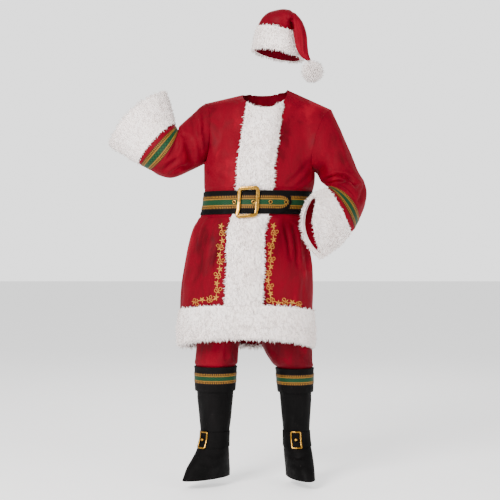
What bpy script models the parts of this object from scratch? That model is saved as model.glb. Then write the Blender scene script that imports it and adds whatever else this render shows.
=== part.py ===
"""A red belted costume suit, worn by nobody: coat, belt, trousers, hat and boot covers.

Metres, +Z up, front towards -Y, +X on the wearer's left. Zero is the root of the neck.
Every piece of cloth is a wall between an outer grid of points and the same grid moved in.
"""

import math
from collections import namedtuple

import bmesh
import bpy
import numpy as np
from mathutils import Vector

OBJECT_NAME = "santa_suit"

# Cloth and trims
SEAM_GAP = 0.0003
CLOTH = 0.0020
PLUSH = 0.0120
PLUSH_EDGE = 0.0050
PLUSH_UNDER_BELT = 0.0040
BRAID = 0.0012
STRAP = 0.0025
BOX_EXPONENT = 0.92

# The eye that the flat outlines were drawn for: a point on an outline slides along its sight line
EYE = Vector((-0.047, -4.60, -0.600))

# Body of the coat: a row for each height
Section = namedtuple("Section", "z middle half front back turn")
TORSO = (
    Section(-0.970, -0.0616, 0.262, 0.205, 0.200, 3.0),
    Section(-0.832, -0.0616, 0.259, 0.203, 0.197, 3.0),
    Section(-0.740, -0.0580, 0.256, 0.200, 0.190, 3.0),
    Section(-0.650, -0.0530, 0.2455, 0.195, 0.180, 3.0),
    Section(-0.575, -0.0520, 0.232, 0.188, 0.168, 4.0),
    Section(-0.500, -0.0400, 0.221, 0.178, 0.157, 5.0),
    Section(-0.464, -0.0270, 0.214, 0.168, 0.149, 6.0),
    Section(-0.374, -0.0145, 0.2125, 0.161, 0.146, 6.0),
    Section(-0.340, -0.0110, 0.2165, 0.161, 0.150, 6.0),
    Section(-0.2785, -0.0100, 0.2170, 0.152, 0.148, 6.0),
)
LEVELS = (-0.960, -0.896, -0.832, -0.780, -0.720, -0.660, -0.600, -0.550, -0.510, -0.483,
          -0.464, -0.4455, -0.419, -0.3925, -0.374, -0.350, -0.318, -0.2785)
HEM_TOP_ROW = 2
BELT_LOW_ROW = 10
BELT_TOP_ROW = 14
BRAID_ROWS = (11, 13)
UPPER_ROWS = 8
ARMPIT_TILT = -0.081
HEM_DROP = (-0.010, 0.033, 0.008)

# Grid columns from a centre line to a side seam
BAND_COLUMNS = 2
FRONT_COLUMNS = 13
BACK_COLUMNS = 9
BAND_HALF = 0.069
NECK_BACK_HALF = 0.050

# Long folds of the skirt and chest: a row for each, angle from the centre front to the wearer's left
Fold = namedtuple("Fold", "angle top low width depth")
FOLDS = (
    Fold(41.0, -0.462, -0.68, 4.0, 0.010),
    Fold(53.0, -0.462, -0.72, 4.0, 0.012),
    Fold(72.0, -0.462, -0.80, 5.0, 0.011),
    Fold(-60.0, -0.462, -0.74, 6.0, 0.007),
    Fold(-78.0, -0.480, -0.95, 6.0, 0.008),
    Fold(118.0, -0.462, -0.90, 8.0, 0.010),
    Fold(146.0, -0.462, -0.80, 8.0, 0.009),
    Fold(-118.0, -0.462, -0.86, 8.0, 0.010),
    Fold(-150.0, -0.462, -0.80, 8.0, 0.009),
)

# Neck and shoulders
NECK = {"x": 0.012, "y": 0.015, "half": 0.088, "front": 0.120, "back": 0.070,
        "front_z": -0.055, "back_z": 0.016}
FRONT_NECK_ROW = 5
BACK_NECK_ROW = 6
Shoulder = namedtuple("Shoulder", "side tip neck_z hollow depth")
SHOULDERS = {
    "right": Shoulder(-1, Vector((-0.222, 0.015, -0.024)), 0.010, 0.024, 0.088),
    "left": Shoulder(1, Vector((0.271, -0.010, -0.051)), 0.030, 0.036, 0.088),
}

# A bent sleeve is a row of rings, each drawn by its two outline points, its depth and its bow
Ring = namedtuple("Ring", "under_x under_z over_x over_z y depth bow swing")
SLEEVES = {
    "right": (
        Ring(-0.2500, -0.2760, -0.2440, -0.0400, 0.012, 0.096, 0.000, 0),
        Ring(-0.2745, -0.2900, -0.2745, -0.0686, 0.008, 0.099, 0.000, 0),
        Ring(-0.3176, -0.3078, -0.3078, -0.0980, 0.000, 0.097, 0.000, 0),
        Ring(-0.3588, -0.3176, -0.3235, -0.1120, -0.010, 0.094, -0.004, 0),
        Ring(-0.4000, -0.3082, -0.3290, -0.1220, -0.018, 0.091, -0.010, 0),
        Ring(-0.4373, -0.2863, -0.3280, -0.1340, -0.022, 0.088, -0.014, 0),
        Ring(-0.4745, -0.2665, -0.3370, -0.1160, -0.018, 0.087, 0.004, -3),
        Ring(-0.4860, -0.2560, -0.3450, -0.1030, -0.012, 0.089, 0.010, -4),
        Ring(-0.5294, -0.2216, -0.3647, -0.0529, 0.002, 0.100, 0.018, -6),
        Ring(-0.5790, -0.1900, -0.3824, 0.0020, 0.018, 0.112, 0.022, -8),
    ),
    "left": (
        Ring(0.2130, -0.3000, 0.2870, -0.0830, -0.008, 0.096, 0.000, 0),
        Ring(0.2170, -0.3060, 0.3098, -0.1294, -0.010, 0.098, 0.000, 0),
        Ring(0.2250, -0.3196, 0.3471, -0.2118, -0.014, 0.096, 0.000, 0),
        Ring(0.2333, -0.3333, 0.3765, -0.2878, -0.024, 0.093, -0.004, 2),
        Ring(0.2412, -0.3431, 0.4020, -0.3294, -0.044, 0.090, -0.008, 4),
        Ring(0.2490, -0.3478, 0.4100, -0.3725, -0.066, 0.088, -0.012, 6),
        Ring(0.2569, -0.3502, 0.4039, -0.4314, -0.092, 0.088, -0.018, 8),
        Ring(0.2640, -0.3510, 0.3804, -0.4824, -0.120, 0.088, -0.020, 8),
        Ring(0.2600, -0.3560, 0.3608, -0.5196, -0.150, 0.090, -0.006, 8),
        Ring(0.2500, -0.3600, 0.3431, -0.5350, -0.168, 0.092, 0.000, 9),
        Ring(0.2294, -0.3765, 0.2961, -0.5745, -0.205, 0.096, 0.014, 10),
        Ring(0.2137, -0.3880, 0.2373, -0.6157, -0.245, 0.100, 0.036, 12),
    ),
}
# Ring numbers where the braid and the plush start, counted with the armhole as ring 0
BRAID_RINGS = {"right": (6, 7), "left": (8, 9)}
PLUSH_RING = {"right": 8, "left": 10}

# Deep creases of the sleeves: ring number, angle round the ring from the underarm, reach and depth
Crease = namedtuple("Crease", "ring angle rings reach depth")
SLEEVE_CREASES = {
    "right": (
        Crease(2.0, 75.0, 0.6, 60.0, 0.012),
        Crease(3.0, 95.0, 0.5, 55.0, -0.006),
        Crease(4.6, 120.0, 0.6, 45.0, 0.008),
        Crease(3.0, 265.0, 0.6, 60.0, 0.009),
    ),
    "left": (
        Crease(5.0, 80.0, 0.6, 62.0, 0.016),
        Crease(4.0, 80.0, 0.5, 60.0, -0.005),
        Crease(2.0, 60.0, 0.6, 45.0, 0.009),
        Crease(3.4, 250.0, 0.7, 55.0, 0.009),
    ),
}

# Trouser legs: a row for each height; a ring wider than its way to the crotch line is left open there
LegRow = namedtuple("LegRow", "z middle half y depth")
CROTCH_X = -0.045
LEGS = {
    "right": (
        LegRow(-0.470, -0.045, 0.162, 0.003, 0.118),
        LegRow(-0.560, -0.045, 0.178, 0.003, 0.134),
        LegRow(-0.650, -0.054, 0.186, 0.005, 0.146),
        LegRow(-0.720, -0.084, 0.166, 0.004, 0.140),
        LegRow(-0.770, -0.118, 0.133, 0.002, 0.128),
        LegRow(-0.805, -0.1480, 0.1015, 0.000, 0.114),
        LegRow(-0.870, -0.1630, 0.0920, 0.002, 0.104),
        LegRow(-0.963, -0.1730, 0.0840, 0.006, 0.094),
        LegRow(-1.025, -0.1780, 0.0830, 0.009, 0.087),
    ),
    "left": (
        LegRow(-0.470, -0.045, 0.182, 0.003, 0.118),
        LegRow(-0.560, -0.045, 0.196, 0.003, 0.134),
        LegRow(-0.650, -0.038, 0.204, 0.005, 0.146),
        LegRow(-0.720, -0.008, 0.176, 0.004, 0.140),
        LegRow(-0.770, 0.030, 0.140, 0.002, 0.128),
        LegRow(-0.805, 0.0625, 0.1060, 0.000, 0.114),
        LegRow(-0.870, 0.0830, 0.1020, 0.004, 0.104),
        LegRow(-0.969, 0.0970, 0.0970, 0.012, 0.096),
        LegRow(-1.030, 0.1160, 0.0820, 0.020, 0.086),
    ),
}
# Legs end inside the boot covers: the boot's row number that each last row follows, and its lift
TUCK_ROWS = ((0.0, 0.0010), (1.0, 0.0), (1.3, 0.0))
WAISTBAND_HEIGHT = 0.034

# Boot covers: a row for each height; `toe` is how far the row's middle moves towards the toe
BootRow = namedtuple("BootRow", "z middle y along across toe")
BOOTS = {
    "right": (
        BootRow(-1.055, -0.1817, 0.010, 0.0790, 0.0770, 0.000),
        BootRow(-1.090, -0.1825, 0.011, 0.0775, 0.0755, 0.000),
        BootRow(-1.150, -0.1835, 0.013, 0.0740, 0.0715, 0.000),
        BootRow(-1.186, -0.1840, 0.015, 0.0705, 0.0690, 0.000),
        BootRow(-1.250, -0.1840, 0.015, 0.0640, 0.0630, 0.000),
        BootRow(-1.310, -0.1840, 0.012, 0.0575, 0.0560, 0.001),
        BootRow(-1.340, -0.1845, 0.010, 0.0580, 0.0565, 0.003),
        BootRow(-1.368, -0.1845, 0.008, 0.0640, 0.0570, 0.008),
        BootRow(-1.405, -0.1840, 0.010, 0.0800, 0.0560, 0.020),
        BootRow(-1.447, -0.1840, 0.010, 0.1000, 0.0530, 0.036),
        BootRow(-1.488, -0.1840, 0.010, 0.1150, 0.0480, 0.045),
    ),
    "left": (
        BootRow(-1.064, 0.1290, 0.035, 0.0730, 0.0700, 0.000),
        BootRow(-1.098, 0.1305, 0.036, 0.0710, 0.0680, 0.000),
        BootRow(-1.158, 0.1325, 0.038, 0.0670, 0.0640, 0.000),
        BootRow(-1.194, 0.1340, 0.040, 0.0640, 0.0610, 0.000),
        BootRow(-1.255, 0.1350, 0.040, 0.0590, 0.0565, 0.000),
        BootRow(-1.312, 0.1357, 0.037, 0.0550, 0.0520, 0.001),
        BootRow(-1.342, 0.1362, 0.035, 0.0560, 0.0525, 0.003),
        BootRow(-1.370, 0.1367, 0.033, 0.0620, 0.0535, 0.008),
        BootRow(-1.407, 0.1367, 0.035, 0.0780, 0.0530, 0.020),
        BootRow(-1.448, 0.1367, 0.035, 0.0980, 0.0510, 0.036),
        BootRow(-1.488, 0.1367, 0.035, 0.1120, 0.0470, 0.045),
    ),
}
TOE_TURN = {"right": -48.0, "left": 17.0}
BOOT_COLUMNS = 16
LEG_COLUMNS = BOOT_COLUMNS
BOOT_CUFF_ROWS = 3
# Inner and outer faces of the folded cuff above the shaft, a number for each row
BOOT_CUFF_LOW = (SEAM_GAP, 0.0020, 0.0030)
BOOT_CUFF_HIGH = (0.0055, 0.0062, 0.0074)
BOOT_STRAP_ROWS = (5, 7)
BOOT_BRAID_SPAN = (0.32, 0.74)
# Degrees round the shaft from the toe, and height
BOOT_BUCKLE = {"right": (4.0, -1.340), "left": (-23.0, -1.342)}
STUD_RADIUS = 0.0060

# Hat: rings from the brim over the top and down the folded tail
HAT = (
    Ring(-0.0294, 0.1863, 0.1510, 0.1471, 0.000, 0.105, 0.000, -10),
    Ring(-0.0235, 0.2150, 0.1480, 0.1790, 0.000, 0.103, 0.000, -10),
    Ring(-0.0157, 0.2745, 0.1431, 0.2392, 0.000, 0.098, 0.000, -10),
    Ring(-0.0039, 0.3000, 0.1450, 0.2627, -0.002, 0.092, 0.004, -8),
    Ring(0.0176, 0.3235, 0.1420, 0.2720, -0.010, 0.083, 0.006, -6),
    Ring(0.0510, 0.3380, 0.1370, 0.2740, -0.025, 0.069, 0.006, 0),
    Ring(0.0863, 0.3427, 0.1314, 0.2725, -0.044, 0.056, 0.004, 0),
    Ring(0.1157, 0.3365, 0.1260, 0.2690, -0.064, 0.045, 0.002, 0),
    Ring(0.1451, 0.3137, 0.1235, 0.2610, -0.084, 0.037, 0.000, 0),
    Ring(0.1655, 0.2804, 0.1235, 0.2471, -0.099, 0.032, 0.000, 0),
    Ring(0.1765, 0.2392, 0.1262, 0.2235, -0.109, 0.029, 0.000, 0),
    Ring(0.1804, 0.2000, 0.1333, 0.1922, -0.115, 0.025, 0.000, 0),
    Ring(0.1850, 0.1680, 0.1490, 0.1600, -0.117, 0.019, 0.000, 0),
    Ring(0.1928, 0.1405, 0.1828, 0.1375, -0.118, 0.005, 0.000, 0),
)
HAT_COLUMNS = 18
HAT_BAND_ROWS = (0, 2)
POMPOM = {"middle": (0.1975, -0.118, 0.1020), "reach": 0.0390, "core": 0.0265, "flat": 0.95}

# Buckles, eyelets and studs
BUCKLE = {"across": -0.0150, "width": 0.0640, "height": 0.1060, "bar": 0.0062, "corner": 0.009, "tilt": 0.0}
EYELETS = (-0.0690, 0.0030, 0.0660, 0.1240)
EYELET = {"outer": 0.0058, "wire": 0.0009, "sides": 8}
TONGUE_TIP = 0.1480
SMALL_BUCKLE = {"width": 0.0340, "height": 0.0620, "bar": 0.0030, "corner": 0.006}
# Clear height of the boot's buckle and stud over the strap
BUCKLE_CLEARANCE = 0.0007
STUD_CLEARANCE = 0.0008

MATERIALS = {
    "red_velour": ((0.42, 0.008, 0.018), 0.75, 0.0),
    "white_plush": ((0.86, 0.82, 0.79), 0.95, 0.0),
    "gold_green_braid": ((0.22, 0.27, 0.06), 0.55, 0.0),
    "black_velour": ((0.010, 0.009, 0.010), 0.85, 0.0),
    "gold_metal": ((0.83, 0.56, 0.17), 0.25, 1.0),
}


def finish(name):
    """The material of that name, made on first use."""
    material = bpy.data.materials.get(name)
    if material is None:
        colour, roughness, metallic = MATERIALS[name]
        material = bpy.data.materials.new(name)
        material.use_nodes = True
        shader = material.node_tree.nodes["Principled BSDF"]
        shader.inputs["Base Color"].default_value = (*colour, 1.0)
        shader.inputs["Roughness"].default_value = roughness
        shader.inputs["Metallic"].default_value = metallic
    return material


def add_object(name, mesh, material):
    """Put a mesh into the suit's collection as its own named object."""
    piece = bpy.data.objects.new(name, mesh)
    mesh.materials.append(finish(material))
    mesh.shade_smooth()
    mesh.set_sharp_from_angle(angle=math.radians(40))
    bpy.data.collections[OBJECT_NAME].objects.link(piece)
    return piece


def unit(vectors):
    """Vectors scaled to length one along the last axis."""
    return vectors / np.maximum(np.linalg.norm(vectors, axis=-1, keepdims=True), 1e-12)


def curve_through(places, values, at):
    """Smooth cubic through table values, read at the given places."""
    places = np.asarray(places, float)
    values = np.asarray(values, float)
    at = np.asarray(at, float)
    slopes = np.gradient(values, places, axis=0)
    index = np.clip(np.searchsorted(places, at) - 1, 0, len(places) - 2)
    width = places[index + 1] - places[index]
    s = (at - places[index]) / width
    if values.ndim > 1:
        width = width[..., None]
        s = s[..., None]
    start = (1 + 2 * s) * (1 - s) ** 2 * values[index] + s * (1 - s) ** 2 * width * slopes[index]
    end = s ** 2 * (3 - 2 * s) * values[index + 1] + s ** 2 * (s - 1) * width * slopes[index + 1]
    return start + end


def slide_on_sight_line(points):
    """Points whose x and z were drawn on the plane y=0, moved to where they are seen from EYE."""
    depth = 1.0 - points[..., 1:2] / EYE.y
    flat = np.stack([points[..., 0] - EYE.x, points[..., 2] - EYE.z], axis=-1) * depth
    return np.stack([flat[..., 0] + EYE.x, points[..., 1], flat[..., 1] + EYE.z], axis=-1)


def grid_normals(points, around=False):
    """Unit normals of a grid: its step along the rows crossed with its step along the columns."""
    if around:
        across = np.roll(points, -1, axis=1) - np.roll(points, 1, axis=1)
    else:
        across = np.gradient(points, axis=1)
    return unit(np.cross(across, np.gradient(points, axis=0)))


def wall(name, outer, inner, material, keep=None, around=False):
    """One closed solid between two grids; `keep` marks the cells that are cloth."""
    rows, columns = outer.shape[:2]
    numbers = np.arange(rows * columns).reshape(rows, columns)
    right = np.roll(numbers, -1, axis=1) if around else numbers[:, 1:]
    left = numbers if around else numbers[:, :-1]
    cells = np.stack([left[:-1], right[:-1], right[1:], left[1:]], axis=-1)
    cells = cells.reshape(-1, 4) if keep is None else cells[keep]
    faces = np.concatenate([cells[:, [0, 1, 2]], cells[:, [0, 2, 3]]])
    edges = np.concatenate([faces[:, [0, 1]], faces[:, [1, 2]], faces[:, [2, 0]]])
    directed = {tuple(edge) for edge in edges.tolist()}
    rim = np.array([edge for edge in sorted(directed) if edge[::-1] not in directed])
    count = rows * columns
    start, end = rim[:, 0], rim[:, 1]
    sides = np.concatenate([np.stack([end, start, start + count], axis=-1),
                            np.stack([end, start + count, end + count], axis=-1)])
    faces = np.concatenate([faces, faces[:, ::-1] + count, sides])
    points = np.concatenate([outer.reshape(-1, 3), inner.reshape(-1, 3)])
    used, faces = np.unique(faces, return_inverse=True)
    faces = faces.reshape(-1, 3)
    points = points[used]
    corners = points[faces]
    volume = np.einsum("ij,ij->i", corners[:, 0], np.cross(corners[:, 1], corners[:, 2])).sum()
    if volume < 0:
        faces = faces[:, ::-1]
    mesh = bpy.data.meshes.new(name)
    mesh.from_pydata(points.tolist(), [], faces.tolist())
    mesh.update()
    return add_object(name, mesh, material)


def overlay(name, base, normals, low, high, material, around=False):
    """A trim that lies on a grid: from `low` to `high` above its points."""
    low = np.asarray(low, float)[..., None]
    high = np.asarray(high, float)[..., None]
    return wall(name, base + normals * high, base + normals * low, material, around=around)


def draw_in(grid, column):
    """Move a panel's edge column half a seam gap into the panel."""
    neighbour = 1 if column == 0 else -2
    edge = grid[:, column]
    return edge + unit(grid[:, neighbour] - edge) * SEAM_GAP / 2


def column_angles(half, band, columns):
    """Angles from the centre line to the side seam, with the band's edge on a column."""
    edge = np.arcsin(np.clip(band / half, 0, 0.95) ** (1 / BOX_EXPONENT))
    share = np.arange(columns + 1)
    inner = np.minimum(share / BAND_COLUMNS, 1.0)
    outer = np.clip((share - BAND_COLUMNS) / (columns - BAND_COLUMNS), 0.0, 1.0)
    return edge[:, None] * inner + (math.pi / 2 - edge[:, None]) * outer


def smooth_step(low, high, value):
    """From 0 at `low` to 1 at `high`, level at both ends."""
    s = np.clip((value - low) / (high - low), 0.0, 1.0)
    return s * s * (3 - 2 * s)


def lower_rows(front):
    """Rows of the coat from hem to armpit: half a rounded box, front or back, right to left."""
    table = curve_through([row.z for row in TORSO], [row[1:] for row in TORSO], LEVELS)
    middle, half, depth_front, depth_back, turn = table.T
    level = np.array(LEVELS)[:, None]
    columns = FRONT_COLUMNS if front else BACK_COLUMNS
    angles = column_angles(half, BAND_HALF if front else NECK_BACK_HALF, columns)
    angles = np.concatenate([-angles[:, :0:-1], angles], axis=1)
    side = np.sign(angles) * np.abs(np.sin(angles)) ** BOX_EXPONENT * half[:, None]
    depth = depth_front if front else depth_back
    ahead = np.abs(np.cos(angles)) ** BOX_EXPONENT * depth[:, None] * (-1 if front else 1)
    degrees = np.degrees(angles)
    if not front:
        degrees = np.where(angles < 0, -180.0, 180.0) - degrees
    dent = np.zeros_like(side)
    for fold in FOLDS:
        along = smooth_step(fold.top + 0.012, fold.top - 0.05, level) * smooth_step(fold.low, fold.low + 0.2, level)
        near = np.exp(-((degrees - fold.angle) / fold.width) ** 2)
        far = np.exp(-((np.abs(degrees - fold.angle) - 2.4 * fold.width) / (1.3 * fold.width)) ** 2)
        dent += fold.depth * along * (near - 0.45 * far)
    radius = np.hypot(side, ahead)
    side, ahead = side * (1 - dent / radius), ahead * (1 - dent / radius)
    swing = np.radians(turn)[:, None]
    x = side * np.cos(swing) + ahead * np.sin(swing)
    y = ahead * np.cos(swing) - side * np.sin(swing)
    ahead_share = np.cos(np.radians(degrees))
    constant, linear, square = HEM_DROP
    drop = constant + linear * ahead_share + square * ahead_share ** 2
    z = level + drop * smooth_step(LEVELS[BELT_LOW_ROW], LEVELS[0], level) ** 1.5
    z = z + ARMPIT_TILT * side * smooth_step(LEVELS[BELT_TOP_ROW], LEVELS[-1], level)
    return np.stack([x + middle[:, None], y, z + 0 * x], axis=-1)


def neckline(angle, shoulder, front):
    """The neck edge at an angle from the centre line, on one shoulder's side."""
    reach = NECK["front"] if front else NECK["back"]
    low = NECK["front_z"] if front else NECK["back_z"]
    x = NECK["x"] + shoulder.side * NECK["half"] * np.sin(angle)
    y = NECK["y"] - (reach if front else -reach) * np.cos(angle)
    z = low + (shoulder.neck_z - low) * (1 - np.cos(angle))
    return np.stack([x, y, z], axis=-1)


def upper_half(armpit_row, shoulder, front):
    """One side of the coat above the armpit, centre line first, as rows up to the shoulder seam."""
    steps = np.arange(1, UPPER_ROWS + 1)
    turn = math.pi * steps / UPPER_ROWS
    underarm = armpit_row[-1]
    tip = np.array(shoulder.tip)
    armhole = underarm + (tip - underarm) * ((1 - np.cos(turn)) / 2)[:, None]
    armhole[:, 0] -= shoulder.side * shoulder.hollow * np.sin(turn)
    armhole[:, 1] += (-1 if front else 1) * shoulder.depth * np.sin(turn)

    neck_row = FRONT_NECK_ROW if front else BACK_NECK_ROW
    band = BAND_HALF if front else NECK_BACK_HALF
    start = math.asin(band / NECK["half"])
    rise = np.minimum(steps / neck_row, 1.0)
    beyond = np.maximum(steps - neck_row, 0) / (UPPER_ROWS - neck_row)
    bulge = np.sin(math.pi * rise) * (-0.010 if front else 0.014)
    columns = []
    for column in range(BAND_COLUMNS + 1):
        angle = math.asin(band / NECK["half"] * column / BAND_COLUMNS)
        foot = armpit_row[column]
        line = foot + (neckline(np.array([angle]), shoulder, front) - foot) * rise[:, None]
        line[:, 1] += bulge
        columns.append(line)
    along_neck = neckline(start + (math.pi / 2 - start) * beyond, shoulder, front)
    edge = np.where((beyond > 0)[:, None], along_neck, columns[BAND_COLUMNS])

    first, last = armpit_row[BAND_COLUMNS], armpit_row[-1]
    share = (armpit_row[BAND_COLUMNS:, :2] - first[:2]) / (last[:2] - first[:2])
    straight = ((steps / UPPER_ROWS) ** 3)[:, None]
    ahead_share = share[None, :, 1] * (1 - straight) + share[None, :, 0] * straight
    side_share = np.repeat(share[None, :, 0], UPPER_ROWS, axis=0)
    share = np.stack([side_share, ahead_share, side_share], axis=-1)
    body = edge[:, None] + (armhole - edge)[:, None] * share
    inner = np.stack(columns[:BAND_COLUMNS], axis=1)
    return np.concatenate([inner, body], axis=1)


def coat_grid(front):
    """The whole front or back of the coat, with the mask of cells that the neck leaves."""
    low = lower_rows(front)
    centre = low.shape[1] // 2
    left = upper_half(low[-1, centre:], SHOULDERS["left"], front)
    right = upper_half(low[-1, centre::-1], SHOULDERS["right"], front)
    upper = np.concatenate([right[:, :0:-1], left], axis=1)
    upper[:, centre] = (right[:, 0] + left[:, 0]) / 2
    grid = np.concatenate([low, upper])
    keep = np.ones((grid.shape[0] - 1, grid.shape[1] - 1), bool)
    neck = len(LEVELS) - 1 + (FRONT_NECK_ROW if front else BACK_NECK_ROW)
    keep[neck:, centre - BAND_COLUMNS:centre + BAND_COLUMNS] = False
    return grid, keep


def shared_normals(front, back):
    """Normals of the front and back grids, the same on both sides of side and shoulder seams."""
    ahead, behind = grid_normals(front), -grid_normals(back)
    sides = slice(0, len(LEVELS))
    for column in (0, -1):
        mean = unit(ahead[sides, column] + behind[sides, column])
        ahead[sides, column] = mean
        behind[sides, column] = mean
    for normals in (ahead, behind):
        middle = normals.shape[1] // 2
        normals[-1, :middle - BAND_COLUMNS + 1] = [0.0, 0.0, 1.0]
        normals[-1, middle + BAND_COLUMNS:] = [0.0, 0.0, 1.0]
    return ahead, behind


def build_coat():
    """The three body panels, and the grids that everything on the coat is made from."""
    front, front_keep = coat_grid(True)
    back, back_keep = coat_grid(False)
    front_normals, back_normals = shared_normals(front, back)
    centre = FRONT_COLUMNS
    halves = {
        "coat_front_right": slice(0, centre + 1),
        "coat_front_left": slice(centre, 2 * centre + 1),
    }
    for name, part in halves.items():
        cell_part = slice(part.start, part.stop - 1)
        panel(name, front[:, part], front_normals[:, part], front_keep[:, cell_part])
    panel("coat_back", back[:, ::-1], back_normals[:, ::-1], back_keep[:, ::-1])
    return front, back, front_normals, back_normals


def panel(name, grid, normals, keep):
    """A cloth panel, drawn in by half a gap at its seams."""
    outer = grid.copy()
    outer[:, 0] = draw_in(grid, 0)
    outer[:, -1] = draw_in(grid, -1)
    outer[-1] = outer[-1] + unit(outer[-2] - outer[-1]) * SEAM_GAP / 2
    wall(name, outer, outer - normals * CLOTH, "red_velour", keep=keep)


def armhole_loop(front, back, front_normals, back_normals, side):
    """Armhole points, normals and ring angles: underarm, front, shoulder, back."""
    column = 0 if side < 0 else -1
    rows = slice(len(LEVELS) - 1, None)
    ahead, behind = front[rows, column], back[rows, column]
    points = np.concatenate([ahead, behind[-2:0:-1]])
    normals = np.concatenate([front_normals[rows, column], back_normals[rows, column][-2:0:-1]])
    angles = np.arange(len(points)) * math.pi / UPPER_ROWS
    return points, normals, angles


def outline_rings(table, angles, side):
    """Rings drawn by two outline points each, as a grid of a row for each ring."""
    rings = []
    for ring in table:
        under = np.array([ring.under_x, 0.0, ring.under_z])
        over = np.array([ring.over_x, 0.0, ring.over_z])
        middle, arm = (under + over) / 2, (over - under) / 2
        out = unit(np.array([arm[2], 0.0, -arm[0]])) * side
        swing = math.radians(ring.swing)
        ahead = -ring.depth * np.array([0.0, math.cos(swing), 0.0]) - ring.depth * math.sin(swing) * out
        sine, cosine = np.sin(angles)[:, None], np.cos(angles)[:, None]
        points = middle - arm * cosine + ahead * sine + out * ring.bow * sine ** 2
        points[:, 1] += ring.y
        rings.append(points)
    return slide_on_sight_line(np.array(rings))


def sleeve_grid(name, loop):
    """A sleeve's outer grid and normals, starting 0.3 mm off the armhole."""
    points, normals, angles = loop
    side = SHOULDERS[name].side
    along = np.roll(points, -1, axis=0) - np.roll(points, 1, axis=0)
    away = unit(np.cross(along, normals)) * side
    first = points + away * SEAM_GAP
    grid = np.concatenate([first[None], outline_rings(SLEEVES[name], angles, side)])
    out = grid_normals(grid, around=True) * -side
    dent = np.zeros(grid.shape[:2])
    for crease in SLEEVE_CREASES[name]:
        along = np.exp(-((np.arange(len(grid)) - crease.ring) / crease.rings) ** 2)
        away_angle = np.degrees(angles) - crease.angle
        dent += crease.depth * along[:, None] * np.exp(-(away_angle / crease.reach) ** 2)
    dent[0] = 0.0
    grid = grid - out * dent[..., None]
    grid_out = grid_normals(grid, around=True) * -side
    grid_out[0] = normals
    return grid, grid_out


def build_sleeve(name, loop):
    """A sleeve with its braid and its bell cuff of plush."""
    grid, normals = sleeve_grid(name, loop)
    wall("sleeve_" + name, grid, grid - normals * CLOTH, "red_velour", around=True)

    low, high = BRAID_RINGS[name]
    rows = slice(low, high + 1)
    overlay("sleeve_braid_" + name, grid[rows], normals[rows], np.full((2, 1), SEAM_GAP),
            np.full((2, 1), SEAM_GAP + BRAID), "gold_green_braid", around=True)

    start = PLUSH_RING[name]
    end = grid[-1] + unit(grid[-1] - grid[-2]) * PLUSH
    base = np.concatenate([grid[start:], end[None]])
    out = np.concatenate([normals[start:], normals[-1:]])
    count = len(base)
    low_offset = np.full((count, 1), SEAM_GAP)
    high_offset = np.full((count, 1), PLUSH)
    high_offset[0] = PLUSH_EDGE
    high_offset[-1] = 0.8 * PLUSH
    overlay("cuff_fur_" + name, base, out, low_offset, high_offset, "white_plush", around=True)


def build_coat_trims(front, back, front_normals, back_normals):
    """The plush down the front and round the hem."""
    centre = FRONT_COLUMNS
    band = slice(centre - BAND_COLUMNS, centre + BAND_COLUMNS + 1)
    neck = len(LEVELS) - 1 + FRONT_NECK_ROW
    rows = np.arange(HEM_TOP_ROW, neck + 1)
    base = front[rows][:, band].copy()
    out = front_normals[rows][:, band]
    base[0] += unit(base[1] - base[0]) * SEAM_GAP
    height = np.full((len(rows), 2 * BAND_COLUMNS + 1), PLUSH)
    height[:, 0] = PLUSH_EDGE
    height[:, -1] = PLUSH_EDGE
    height[0] = PLUSH_EDGE
    height[-1] = PLUSH_EDGE
    height[(rows >= BELT_LOW_ROW) & (rows <= BELT_TOP_ROW)] = PLUSH_UNDER_BELT
    overlay("front_fur", base, out, np.full_like(height, SEAM_GAP), height, "white_plush")

    rows = slice(0, HEM_TOP_ROW + 1)
    base = np.concatenate([front[rows, centre:], back[rows, -2:0:-1], front[rows, :centre + 1]], axis=1)
    out = np.concatenate([front_normals[rows, centre:], back_normals[rows, -2:0:-1],
                          front_normals[rows, :centre + 1]], axis=1)
    base[:, 0] = draw_in(base, 0)
    base[:, -1] = draw_in(base, -1)
    height = np.array([[0.7 * PLUSH], [PLUSH], [PLUSH_EDGE]])
    overlay("hem_fur", base, out, np.full((3, 1), SEAM_GAP), height, "white_plush")


def belt_course(front, back, front_normals, back_normals):
    """The belt's path over the coat, from the tongue's tip once round to under the buckle."""
    rows = np.arange(BELT_LOW_ROW, BELT_TOP_ROW + 1)
    centre = FRONT_COLUMNS
    ring = np.concatenate([front[rows][:, centre:], back[rows][:, -2:0:-1], front[rows][:, :centre]], axis=1)
    out = np.concatenate([front_normals[rows][:, centre:], back_normals[rows][:, -2:0:-1],
                          front_normals[rows][:, :centre]], axis=1)
    count = ring.shape[1]
    widths = np.linalg.norm(np.diff(ring[2, :FRONT_COLUMNS + 1], axis=0), axis=-1)
    reach = np.concatenate([[0.0], np.cumsum(widths)])
    tip = float(np.interp(TONGUE_TIP, reach, np.arange(len(reach))))
    whole = np.arange(math.floor(tip), -count - 1, -1)
    places = np.concatenate([[tip], [tip - 0.25], whole[whole < tip - 0.3]]).astype(float)
    under = np.where(np.abs((places + count / 2) % count - count / 2) <= BAND_COLUMNS, PLUSH_UNDER_BELT, 0.0)
    lift = under + 2 * SEAM_GAP
    layer = STRAP + BRAID + 2 * SEAM_GAP
    lift = lift + np.where(places >= -1, layer, 0.0)
    low, high = np.floor(places).astype(int), np.floor(places).astype(int) + 1
    share = (places - low)[None, :, None]
    points = ring[:, low % count] * (1 - share) + ring[:, high % count] * share
    normals = unit(out[:, low % count] * (1 - share) + out[:, high % count] * share)
    points = points.copy()
    for column, keep in ((0, 0.35), (1, 0.80)):
        middle = points[2, column]
        points[:, column] = middle + (points[:, column] - middle) * keep
    return points[:, ::-1], normals[:, ::-1], lift[::-1]


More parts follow.
